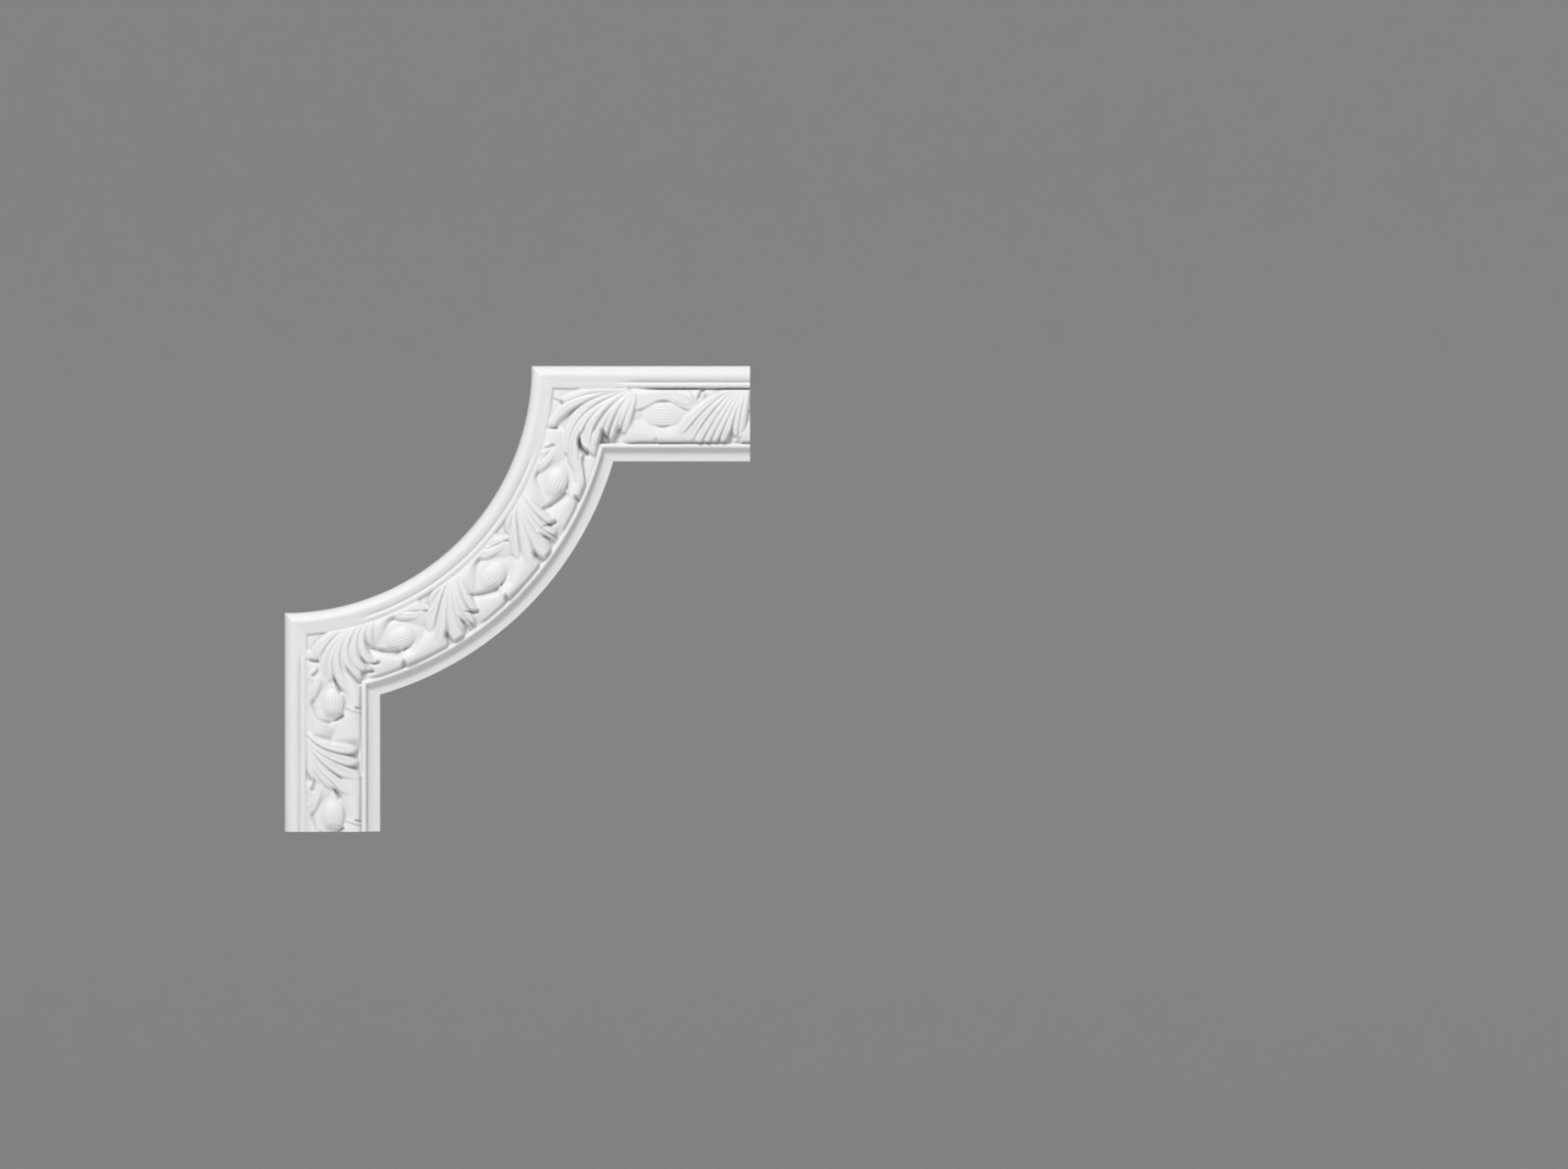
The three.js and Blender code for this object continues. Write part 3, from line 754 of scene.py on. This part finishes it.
@dataclass
class Carving:
    """The running ornament: heights off the wall over the band, in millimetres."""

    plan: Plan
    section: Section
    cut: LeafCut = LeafCut()
    side_cut: LeafCut = LeafCut(height=19.4, side_share=0.75, groove_depth=1.4, scoop_depth=0.3)
    pitch: float = 71.0
    stem_share: float = 0.47
    upper_bud_from_mitre: float = 55.6
    left_bud_from_mitre: float = 29.2
    drawn_band: float = 34.9
    drawn_reach: float = 60.0
    wall_slope: float = 5.0
    outer_ground: float = 15.6
    ground_blend: float = 5.0
    edge_gap: float = 0.25
    inner_edge_gap: float = 0.1
    edge_slope: float = 0.7
    outer_edge_ground: float = 16.6
    arm_edge_from: Place = (34.0, 56.0)
    arm_edge_drop: float = 2.8
    arm_edge_gap: float = 0.5
    arc_edge_rise: float = 1.9
    left_edge_from: Place = (4.0, 24.0)
    left_edge_rise: float = 0.1
    rib_depth: float = 0.5
    bud_fullness: float = 0.8
    bud_end_rise: float = 0.4
    bud_clearance: float = 1.2
    eye_ground: float = 15.2
    neck_drop: float = 0.5
    gap_reach: float = 17.0
    ribbon_height: float = 17.9
    ribbon_foot: float = 16.6
    inner_lip_drop: float = 0.9
    ribbon_crown: float = 0.6
    ribbon_start_rise: float = 0.1
    ribbon_fade: float = 4.0
    ribbon_sink: float = 9.0
    ribbon_gap_run: float = 18.0
    ribbon_margin: float = 2.0
    first_start_earlier: float = 12.0
    lap_rises_from: float = -14.0
    lap_gap_from: float = -20.0
    lap_slant: float = 3.5
    leaf_margin: float = 2.2
    cut_margin: float = 2.0
    bud_blunting: float = 0.004
    eye_rises_from: float = 0.5
    eye_fades: float = 3.0
    eye_width: float = 2.0
    heights: np.ndarray = field(default_factory=lambda: np.zeros(0))

    @property
    def stem(self) -> float:
        """Distance of the stem line from the outer edge."""
        return self.section.band_start + self.stem_share * self.section.band_width

    @property
    def stem_radius(self) -> float:
        """Radius of the stem line round the arc."""
        return self.plan.cove_radius + self.stem

    @property
    def stem_mitre(self) -> float:
        """How far the stem line's turns are from the arc's centre, right or below."""
        return math.sqrt(self.stem_radius**2 - self.stem**2)

    @property
    def scale(self) -> float:
        """True size of the leaves over their drawn size."""
        return self.section.band_width / self.drawn_band

    def fit_run(self, place: Place) -> Place:
        """A drawn place of the running ornament as (along, from the outer edge)."""
        return place[0], self.section.band_start + place[1] * self.scale

    def fit_corner(self, place: Place) -> Place:
        """A drawn place of a corner leaf in true size."""
        return place[0] * self.scale, place[1] * self.scale

    def raise_to(self, chosen: np.ndarray, heights: np.ndarray) -> None:
        """Raises the chosen points to the given heights where they are higher."""
        self.heights[chosen] = np.maximum(self.heights[chosen], heights)

    def carve_leaf(
        self,
        points: np.ndarray,
        leaf: Sequence[Lobe],
        fit: Callable[[Place], Place],
        cut: LeafCut,
    ) -> None:
        """Raises a leaf.

        Args:
            points: Every point as seen from the leaf's own place.
            leaf: Its lobes.
            fit: Turns their drawn places into true ones.
            cut: How its lobes are cut.
        """
        lines = [lobe.line(fit) for lobe in leaf]
        chosen = within(points, lines, self.leaf_margin * max(lobe.half for lobe in leaf))
        floor = self.section.floor
        away = np.empty((len(leaf), len(chosen)))
        top = np.full(len(chosen), NOTHING)
        for k, (lobe, line) in enumerate(zip(leaf, lines)):
            away[k], along = nearest(points[chosen], line)
            top = np.maximum(top, cut.body(away[k], along, lobe.half * self.scale, floor))
        first, second = np.sort(away, axis=0)[:2]
        shown = ease(top - floor, *cut.shown_from)
        self.raise_to(chosen, top + cut.cuts(first, second) * shown)

    def cut_notch(self, points: np.ndarray, notch: Notch, fit: Callable[[Place], Place]) -> None:
        """Cuts one pocket or crease, down to its bottom at most.

        Args:
            points: Every point as seen from the place the notch is drawn from.
            notch: The notch.
            fit: Turns its drawn places into true ones.
        """
        line = notch.line(fit)
        chosen = within(points, [line], self.cut_margin * notch.half)
        sunk = self.heights[chosen] - notch.cut(*nearest(points[chosen], line))
        self.heights[chosen] = np.maximum(sunk, np.minimum(notch.bottom, self.heights[chosen]))

    def level(self, points: np.ndarray, flat: Flat, fit: Callable[[Place], Place]) -> None:
        """Levels a flat place.

        Args:
            points: Every point as seen from the place it is drawn from.
            flat: The flat place.
            fit: Turns its drawn places into true ones.
        """
        line = flat.line(fit)
        chosen = within(points, [line], self.cut_margin * flat.half)
        share = flat.share(*nearest(points[chosen], line))
        self.heights[chosen] += (flat.level - self.heights[chosen]) * share

    def gap(self, along: np.ndarray, half: float, neck: float) -> np.ndarray:
        """Distance from the stem line to a ribbon's edge: wide at the bud, a neck past it."""
        share = np.clip(np.abs(along) / self.gap_reach, 0, 1)
        return neck + (half + self.bud_clearance - neck) * 0.5 * (1 + np.cos(np.pi * share))

    def carve_ribbon(self, points: np.ndarray, ribbon: Ribbon, repeat: Repeat, earlier: float) -> None:
        """Raises one ribbon beside a bud or husk.

        Args:
            points: Every point as (along, from the outer edge) of the bud.
            ribbon: The ribbon.
            repeat: What this stretch repeats.
            earlier: How much further upstream it starts than it is drawn.
        """
        along, offset = points[:, 0], points[:, 1]
        start, end = self.section.band_start, self.section.band_end
        begin = ribbon.start - (earlier if ribbon.start < 0 else 0.0)
        near = (along > begin - self.ribbon_margin) & (along < ribbon.end + self.ribbon_margin)
        beside = (offset > start - self.ribbon_margin) & (offset < end + self.ribbon_margin)
        chosen = np.flatnonzero(near & beside)
        along, offset = along[chosen], offset[chosen]
        side = ribbon.side.value
        limit = start if ribbon.side is Side.OUTER else end
        form = repeat.husk or repeat.bud
        edge = self.stem + side * self.gap(along, float(form.half(side)), repeat.neck_half)
        share = np.clip((offset - edge) / (limit - edge), 0, 1)
        lift = ribbon.lift
        if ribbon.laps:
            lift = repeat.lap * (1 + ease(along, self.lap_rises_from, ribbon.end)) / 2
        crown, lip = self.ribbon_height + lift, repeat.ribbon_edge + lift
        if ribbon.side is Side.INNER:
            lip = lip - self.inner_lip_drop
        rising = lip + (crown - lip) * np.sin(np.pi / 2 * np.clip(share / self.ribbon_crown, 0, 1))
        past = np.clip((share - self.ribbon_crown) / (1 - self.ribbon_crown), 0, 1)
        foot = self.ribbon_foot + lift / 2
        falling = foot + (crown - foot) * np.cos(np.pi / 2 * past)
        height = np.where(share < self.ribbon_crown, rising, falling) - self.section.floor
        height = height * np.clip(self.ribbon_start_rise + (along - begin) / self.ribbon_fade, 0, 1)
        if not ribbon.laps:
            height = height * ease(ribbon.end - along, 0, self.ribbon_sink)
        wall = np.clip((edge - offset) * side, 0, None)
        gap_from = ribbon.end - self.ribbon_gap_run
        if ribbon.laps:
            wall = wall + np.clip(along - ribbon.end - self.lap_slant * (share - 0.5), 0, None)
            gap_from = self.lap_gap_from
        if ribbon.side is Side.INNER:
            spare = repeat.edge_gap * (1 - ease(along, gap_from, ribbon.end))
            wall = wall + np.clip(offset - (limit - spare), 0, None)
        self.raise_to(chosen, self.section.floor + height - wall * self.wall_slope)

    def carve_bud(self, points: np.ndarray, form: BudForm) -> None:
        """Raises a ribbed bud or a husk.

        Args:
            points: Every point as (along, from the outer edge) of the bud.
            form: The bud or husk.
        """
        end = form.length / 2
        reach = max(form.outer_half, form.inner_half) + self.bud_clearance
        near = np.abs(points[:, 0]) < end + self.bud_clearance
        chosen = np.flatnonzero(near & (np.abs(points[:, 1] - self.stem) < reach))
        along, offset = points[chosen, 0], points[chosen, 1] - self.stem
        floor = self.section.floor
        turn = np.sqrt(np.clip(1 - (along / end) ** 2, self.bud_blunting, 1))
        half = form.half(offset) * turn**self.bud_fullness
        crest = (form.height - floor) * (self.bud_end_rise + (1 - self.bud_end_rise) * turn)
        share = np.clip(np.abs(offset) / half, 0, 1)
        dome = crest * (form.side_rise + (1 - form.side_rise) * np.sqrt(1 - share**2))
        if form.ribs:
            signed = 1 + share * np.sign(offset)
            rib = self.rib_depth * turn**form.rib_fade
            dome = dome - rib * 0.5 * (1 + np.cos(np.pi * form.ribs * signed))
        outside = np.clip(np.abs(offset) - half, 0, None) + np.clip(np.abs(along) - end, 0, None)
        self.raise_to(chosen, floor + dome - outside * self.wall_slope)

    def carve_eye(self, points: np.ndarray, repeat: Repeat) -> None:
        """Raises the ground of the eye between the ribbons, and the stem before and after it.

        Args:
            points: Every point as (along, from the outer edge) of the bud.
            repeat: What this stretch repeats.
        """
        half = (repeat.husk or repeat.bud).inner_half
        neck = repeat.ribbon_edge - self.neck_drop
        reach = self.gap_reach + self.eye_fades * self.ribbon_fade
        away, beside = np.abs(points[:, 0]), np.abs(points[:, 1] - self.stem)
        chosen = np.flatnonzero((away < reach) & (beside < self.eye_width * half))
        along, beside = away[chosen], beside[chosen]
        rise = ease(along, self.eye_rises_from * self.gap_reach, self.gap_reach)
        stem = self.eye_ground + (neck - self.eye_ground) * rise
        fall = ease(along, reach - self.ribbon_fade, reach)
        stem = stem - (stem - self.section.floor) * fall
        past = np.clip(beside - self.gap(along, half, repeat.neck_half), 0, None)
        self.raise_to(chosen, stem - past * self.wall_slope)

    def carve_unit(self, points: np.ndarray, repeat: Repeat, leaf: bool) -> None:
        """Raises one repeat: the bud, its ribbons and side leaf, and the leaf that runs up to it.

        Args:
            points: Every point as (along, from the outer edge) of the bud.
            repeat: What this stretch repeats.
            leaf: Whether a running leaf belongs to it; if not, a corner's leaf runs up to it.
        """
        self.carve_eye(points, repeat)
        for ribbon in RIBBONS:
            self.carve_ribbon(points, ribbon, repeat, 0.0 if leaf else self.first_start_earlier)
        if repeat.husk:
            self.carve_bud(points, repeat.husk)
        self.carve_bud(points, repeat.bud)
        self.carve_leaf(points, repeat.side_leaf, self.fit_run, self.side_cut)
        if leaf:
            self.carve_leaf(points, repeat.leaf, self.fit_run, self.cut)

    def units(self, right: np.ndarray, below: np.ndarray) -> list[tuple[np.ndarray, Repeat, bool]]:
        """Finds every repeat along the run.

        Args:
            right: Distance of each point right of the arc's centre.
            below: And below it.

        Returns:
            For each repeat, every point as seen from its bud, its style and whether it has a leaf.
        """
        found = []
        end = self.plan.end
        bud = self.stem_mitre + self.upper_bud_from_mitre
        while bud - self.drawn_reach / 2 < end:
            found.append((np.stack([bud - right, below], axis=1), UPPER_ARM, bud < end))
            bud += self.pitch
        radius, angle = np.hypot(right, below), np.arctan2(below, right)
        sweep = math.pi / 2 - 2 * math.asin(self.stem / self.stem_radius)
        count = max(1, round(self.stem_radius * sweep / self.pitch))
        for i in range(count):
            turn = math.pi / 4 + self.pitch / self.stem_radius * (i - (count - 1) / 2)
            along = (angle - turn) * self.stem_radius
            found.append((np.stack([along, radius - self.plan.cove_radius], axis=1), ARC, i > 0))
        first = bud = self.stem_mitre + self.left_bud_from_mitre
        while bud - self.drawn_reach < end:
            found.append((np.stack([below - bud, right], axis=1), LEFT_ARM, bud > first))
            bud += self.pitch
        return found

    def carve(self, right: np.ndarray, below: np.ndarray, across: np.ndarray) -> np.ndarray:
        """Carves the whole run.

        Args:
            right: Distance of each point right of the arc's centre.
            below: And below it.
            across: And from the outer edge of the moulding.

        Returns:
            The ornament's height at each point.
        """
        floor = self.section.floor
        outward = 1 - ease(across, self.stem - self.ground_blend, self.stem + self.ground_blend)
        self.heights = floor + (self.outer_ground - floor) * outward
        units = self.units(right, below)
        for points, repeat, leaf in units:
            self.carve_unit(points, repeat, leaf)
        upper = np.stack([right - self.stem_mitre, below - self.stem], axis=1)
        lower = np.stack([right - self.stem, below - self.stem_mitre], axis=1)
        self.carve_leaf(upper, UPPER_CORNER_LEAF, self.fit_corner, self.cut)
        self.carve_leaf(lower, LOWER_CORNER_LEAF, self.fit_corner, self.cut)
        arm = ease(right - self.stem_mitre, *self.arm_edge_from)
        left = ease(below - self.stem_mitre, *self.left_edge_from)
        outer_ground = self.outer_edge_ground - self.arm_edge_drop * arm
        inner_ground = floor + self.arc_edge_rise * (1 - arm) + self.left_edge_rise * left
        edge = np.where(across < self.stem, outer_ground, inner_ground)
        outer = across - self.section.band_start - self.arm_edge_gap * arm
        inner = self.section.band_end - self.inner_edge_gap - across
        inset = np.minimum(outer, inner)
        shown = ease(inset, self.edge_gap, self.edge_gap + self.edge_slope)
        self.heights = np.minimum(self.heights, edge) + np.clip(self.heights - edge, 0, None) * shown
        for flat in UPPER_CORNER_FLATS:
            self.level(upper, flat, self.fit_corner)
        for points, repeat, leaf in units:
            for notch in repeat.bud_notches + (repeat.leaf_notches if leaf else ()):
                self.cut_notch(points, notch, self.fit_run)
        for points, notches in ((upper, UPPER_CORNER_NOTCHES), (lower, LOWER_CORNER_NOTCHES)):
            for notch in notches:
                self.cut_notch(points, notch, self.fit_corner)
        return self.heights


def soften(grid: np.ndarray, passes: int) -> np.ndarray:
    """Averages each point of a grid with its neighbours.

    Args:
        grid: Values over stations and lines.
        passes: How often.

    Returns:
        The softened grid, its border as it was.
    """
    for _ in range(passes):
        for axis in (0, 1):
            padded = np.pad(grid, [(1, 1) if a == axis else (0, 0) for a in (0, 1)], mode="edge")
            before = np.take(padded, range(0, padded.shape[axis] - 2), axis=axis)
            after = np.take(padded, range(2, padded.shape[axis]), axis=axis)
            grid = 0.5 * grid + 0.25 * (before + after)
    return grid


@dataclass(frozen=True)
class PrimerFinish:
    """Sprayed white primer on rigid polymer: matt to satin, with painted shade that greys the hollows.
    """

    white: tuple[float, float, float] = (0.86, 0.855, 0.845)
    shade: tuple[float, float, float] = (0.80, 0.795, 0.785)
    # painted shade: the darker colour that the hollows are mixed towards
    painted_shade: tuple[float, float, float] = (0.46, 0.455, 0.45)
    mottle_scale: float = 22.0
    mottle_detail: float = 3.0
    grain_scale: float = 1300.0
    grain_detail: float = 2.0
    grain_strength: float = 0.6
    grain_depth: float = 0.00004
    roughness: tuple[float, float] = (0.42, 0.56)

    def build(self) -> bpy.types.Material:
        """Builds the material.

        Returns:
            A procedural material on Object coordinates and the piece's own attribute for painted shade
            in the hollows.
        """
        material = bpy.data.materials.new("primed_white")
        material.use_nodes = True
        tree = material.node_tree
        shader = tree.nodes["Principled BSDF"]
        place = tree.nodes.new("ShaderNodeTexCoord")
        mottle = self.noise(tree, place, self.mottle_scale, self.mottle_detail)
        grain = self.noise(tree, place, self.grain_scale, self.grain_detail)
        tone = self.blend(tree, mottle.outputs["Fac"], self.shade, self.white)
        # painted shade: the attribute mixes the hollows towards a darker colour, standing in for the
        # light they lose
        painted_shade = tree.nodes.new("ShaderNodeAttribute")
        painted_shade.attribute_name = "painted_shade"
        colour = self.blend(tree, painted_shade.outputs["Fac"], None, self.painted_shade)
        tree.links.new(tone.outputs["Result"], colour.inputs["A"])
        tree.links.new(colour.outputs["Result"], shader.inputs["Base Color"])
        low, high = self.roughness
        rough = add_node(tree, "ShaderNodeMapRange", {"To Min": low, "To Max": high})
        tree.links.new(mottle.outputs["Fac"], rough.inputs["Value"])
        tree.links.new(rough.outputs["Result"], shader.inputs["Roughness"])
        coarse = {"Strength": self.grain_strength, "Distance": self.grain_depth}
        bump = add_node(tree, "ShaderNodeBump", coarse)
        tree.links.new(grain.outputs["Fac"], bump.inputs["Height"])
        tree.links.new(bump.outputs["Normal"], shader.inputs["Normal"])
        return material

    def noise(
        self, tree: bpy.types.NodeTree, place: bpy.types.Node, scale: float, detail: float
    ) -> bpy.types.Node:
        """Adds a noise texture on Object coordinates and returns it."""
        node = add_node(tree, "ShaderNodeTexNoise", {"Scale": scale, "Detail": detail})
        tree.links.new(place.outputs["Object"], node.inputs["Vector"])
        return node

    def blend(
        self,
        tree: bpy.types.NodeTree,
        share: bpy.types.NodeSocket,
        low: Sequence[float] | None,
        high: Sequence[float],
    ) -> bpy.types.Node:
        """Adds a colour mix and returns it, with low left for a link where it is None."""
        node = tree.nodes.new("ShaderNodeMix")
        node.data_type = "RGBA"
        tree.links.new(share, node.inputs["Factor"])
        if low is not None:
            node.inputs["A"].default_value = (*low, 1.0)
        node.inputs["B"].default_value = (*high, 1.0)
        return node


@dataclass
class CarvedCorner:
    """The casting as a whole: the plain moulding with its ornament carved in."""

    plan: Plan
    section: Section
    finish: PrimerFinish
    soft_passes: int = 1
    # softening passes and depth scale of the painted shade mask in the hollows
    painted_shade_passes: int = 14
    painted_shade_depth: float = 2.2
    fade_across: Place = (7.0, 14.05)
    fade_heights: Place = (18.4, 17.0)
    fade_from: float = 0.68
    upper_fade: float = 74.0
    lower_fade: float = 66.0
    arm_fade_rate: float = 1.8
    arc_fade: float = 0.5
    arc_fade_from: Place = (15.0, 40.0)
    fade_blend: float = 1.0
    sharp_from: float = 75.0

    def fade_fillet(
        self, rise: np.ndarray, across: np.ndarray, right: np.ndarray, below: np.ndarray
    ) -> np.ndarray:
        """Lets the outer fillet and its quirk die out at the corners, and softens them on the arc.

        Args:
            rise: Height of each point.
            across: Its distance from the outer edge.
            right: Its distance right of the arc's centre.
            below: And below it.

        Returns:
            The heights with the fillet faded.
        """
        upper = np.hypot(right - self.plan.cove_radius, below) / self.upper_fade
        drop = below - self.plan.cove_radius
        drop = drop * np.where(drop > 0, self.arm_fade_rate, 1.0)
        away = np.minimum(upper, np.hypot(right, drop) / self.lower_fade)
        on_arc = ease(np.minimum(right, below), *self.arc_fade_from)
        start, end = self.fade_across
        slope = (self.fade_heights[0] - self.fade_heights[1]) / (end - start)
        target = self.fade_heights[0] - slope * (across - start)
        near = np.maximum(1 - ease(away, self.fade_from, 1.0), self.arc_fade * on_arc)
        inward = ease(across, start - self.fade_blend, start + self.fade_blend)
        share = near * inward * (across < end) * (rise > 0)
        return rise + (target - rise) * share

    def build(self) -> bpy.types.Object:
        """Builds the casting, hides the solid it stands for and hangs it on the body's empty.

        Returns:
            The finished piece.
        """
        run = MouldingRun(self.plan, self.section)
        piece = run.build("carved_corner", self.finish.build())
        self.carve(piece.data, len(run.ring()))
        self.smooth(piece.data)
        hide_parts(NODE)
        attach(piece, BODY)
        return piece

    def carve(self, mesh: bpy.types.Mesh, sides: int) -> None:
        """Raises the ornament out of the band and keeps how deep each point lies, as the mask for
        painted shade in the hollows.

        Args:
            mesh: The plain moulding.
            sides: Points in one ring of it.
        """
        count = len(mesh.vertices)
        flat = np.empty(count * 3)
        mesh.vertices.foreach_get("co", flat)
        points = flat.reshape(count, 3)
        across, rise = np.empty(count), np.empty(count)
        mesh.attributes["across"].data.foreach_get("value", across)
        mesh.attributes["rise"].data.foreach_get("value", rise)
        across, rise = across / MM, rise / MM
        right = points[:, 0] / MM + self.plan.middle
        below = self.plan.middle - points[:, 2] / MM
        rise = self.fade_fillet(rise, across, right, below)
        carved = Carving(self.plan, self.section).carve(right, below, across)
        margin = self.section.band_margin
        band = (across > self.section.band_start - margin) & (rise > 0)
        band &= across < self.section.band_end + margin
        carved = np.where(carved < self.section.floor, carved, np.maximum(rise, carved))
        raised = np.where(band, carved, rise).reshape(-1, sides)
        softened = soften(raised, self.soft_passes)
        raised = np.where(band.reshape(-1, sides), softened, raised)
        # painted shade mask: how far each point lies below its softened neighbours, scaled to 0..1
        painted_shade = (soften(raised[:, 1:-1], self.painted_shade_passes) - raised[:, 1:-1]) / self.painted_shade_depth
        depth = np.zeros_like(raised)
        depth[:, 1:-1] = np.clip(painted_shade, 0, 1)
        points[:, 1] = -raised.reshape(-1) * MM
        mesh.vertices.foreach_set("co", points.reshape(-1))
        # the painted shade mask is kept as a point attribute for the material
        mesh.attributes.new("painted_shade", "FLOAT", "POINT").data.foreach_set("value", depth.reshape(-1))
        for name in ("run", "across", "rise"):
            mesh.attributes.remove(mesh.attributes[name])

    def smooth(self, mesh: bpy.types.Mesh) -> None:
        """Shades the face smooth and keeps the square edges at the back and the cut ends."""
        mesh.shade_smooth()
        mesh.set_sharp_from_angle(angle=math.radians(self.sharp_from))
        mesh.validate()
        mesh.update()


@dataclass(frozen=True)
class Lamp:
    """A square area light aimed at the object: its place and side in metres, its power in watts."""

    name: str
    where: tuple[float, float, float]
    side: float
    power: float

    def light(self) -> None:
        """Adds the light to the scene."""
        data = bpy.data.lights.new(self.name, "AREA")
        data.size = self.side
        data.energy = self.power
        light = bpy.data.objects.new(self.name, data)
        light.location = self.where
        light.rotation_euler = (-Vector(self.where)).to_track_quat("-Z", "Y").to_euler()
        bpy.context.scene.collection.objects.link(light)


LAMPS = (
    Lamp("key", (-0.65, -2.00, 1.90), 0.8, 55.0),
    Lamp("fill", (0.3, -3.2, 0.1), 2.0, 16.0),
    Lamp("behind", (0.7, 1.6, 2.4), 1.2, 30.0),
)


@dataclass
class Studio:
    """A pale seamless studio, soft light and the photograph's camera."""

    plan: Plan
    face_width_px: float = 97.0
    arc_centre_px: Place = (290.0, 373.5)
    lens: float = 150.0
    face_height: float = 0.016
    sensor: float = 36.0
    camera_reach: float = 100.0
    bowl_radius: float = 9.0
    bowl_depth: float = 1.2
    bowl_bend: float = 2.0
    bowl_eye: float = 0.02
    bend_steps: int = 10
    turns: int = 72
    wall_top: float = 5.0
    backdrop: tuple[float, float, float] = (0.76, 0.755, 0.75)
    backdrop_roughness: float = 0.9
    room_strength: float = 0.3

    def build(self) -> None:
        """Builds backdrop, lights, world and camera."""
        self.build_backdrop()
        self.build_lights()
        self.build_camera()

    def build_backdrop(self) -> None:
        """Makes a floor that bends up into a round wall on every side."""
        profile = [(self.bowl_eye, -self.bowl_depth)]
        inner = self.bowl_radius - self.bowl_bend
        for i in range(self.bend_steps + 1):
            turn = math.pi / 2 * i / self.bend_steps
            up = self.bowl_bend * (1 - math.cos(turn)) - self.bowl_depth
            profile.append((inner + self.bowl_bend * math.sin(turn), up))
        profile.append((self.bowl_radius, self.wall_top))
        points, faces = [], []
        rows = len(profile)
        for i in range(self.turns):
            turn = 2 * math.pi * i / self.turns
            points += [(r * math.cos(turn), r * math.sin(turn), z) for r, z in profile]
            for k in range(rows - 1):
                here, beside = i * rows + k, (i + 1) % self.turns * rows + k
                faces.append((here, beside, beside + 1, here + 1))
        faces.append(tuple(i * rows for i in range(self.turns))[::-1])
        mesh = bpy.data.meshes.new("studio_floor")
        mesh.from_pydata(points, [], faces)
        mesh.shade_smooth()
        material = bpy.data.materials.new("pale_floor")
        material.use_nodes = True
        shader = material.node_tree.nodes["Principled BSDF"]
        shader.inputs["Base Color"].default_value = (*self.backdrop, 1.0)
        shader.inputs["Roughness"].default_value = self.backdrop_roughness
        mesh.materials.append(material)
        floor = bpy.data.objects.new("studio_floor", mesh)
        bpy.context.scene.collection.objects.link(floor)

    def build_lights(self) -> None:
        """Adds a soft key from above left, a front fill, a weak light behind, and an even world."""
        for lamp in LAMPS:
            lamp.light()
        world = bpy.data.worlds.new("soft_room")
        world.use_nodes = True
        background = world.node_tree.nodes["Background"]
        background.inputs["Color"].default_value = (1.0, 1.0, 1.0, 1.0)
        background.inputs["Strength"].default_value = self.room_strength
        bpy.context.scene.world = world
        bpy.context.scene.view_settings.view_transform = "Standard"

    def build_camera(self) -> None:
        """Places a long-lens camera square to the face, framed as the photograph is."""
        scale = self.plan.profile_width / self.face_width_px * MM
        origin_px = [p + self.plan.middle * MM / scale for p in self.arc_centre_px]
        right = (PHOTO_WIDTH / 2 - origin_px[0]) * scale
        up = (origin_px[1] - PHOTO_HEIGHT / 2) * scale
        data = bpy.data.cameras.new("camera")
        data.lens = self.lens
        data.sensor_width = self.sensor
        camera = bpy.data.objects.new("camera", data)
        away = scale * PHOTO_WIDTH * self.lens / self.sensor + self.face_height
        camera.location = (right, -away, up)
        camera.rotation_euler = (math.pi / 2, 0.0, 0.0)
        data.clip_end = self.camera_reach
        bpy.context.scene.collection.objects.link(camera)
        bpy.context.scene.camera = camera


def main() -> None:
    """Builds every piece in order."""
    plan = Plan.from_solid()
    corner = CarvedCorner(plan, Section(), PrimerFinish()).build()
    mesh = corner.data
    log.info("%s: %d points, %d faces", corner.name, len(mesh.vertices), len(mesh.polygons))
    Studio(plan).build()


if __name__ == "__main__":
    main()
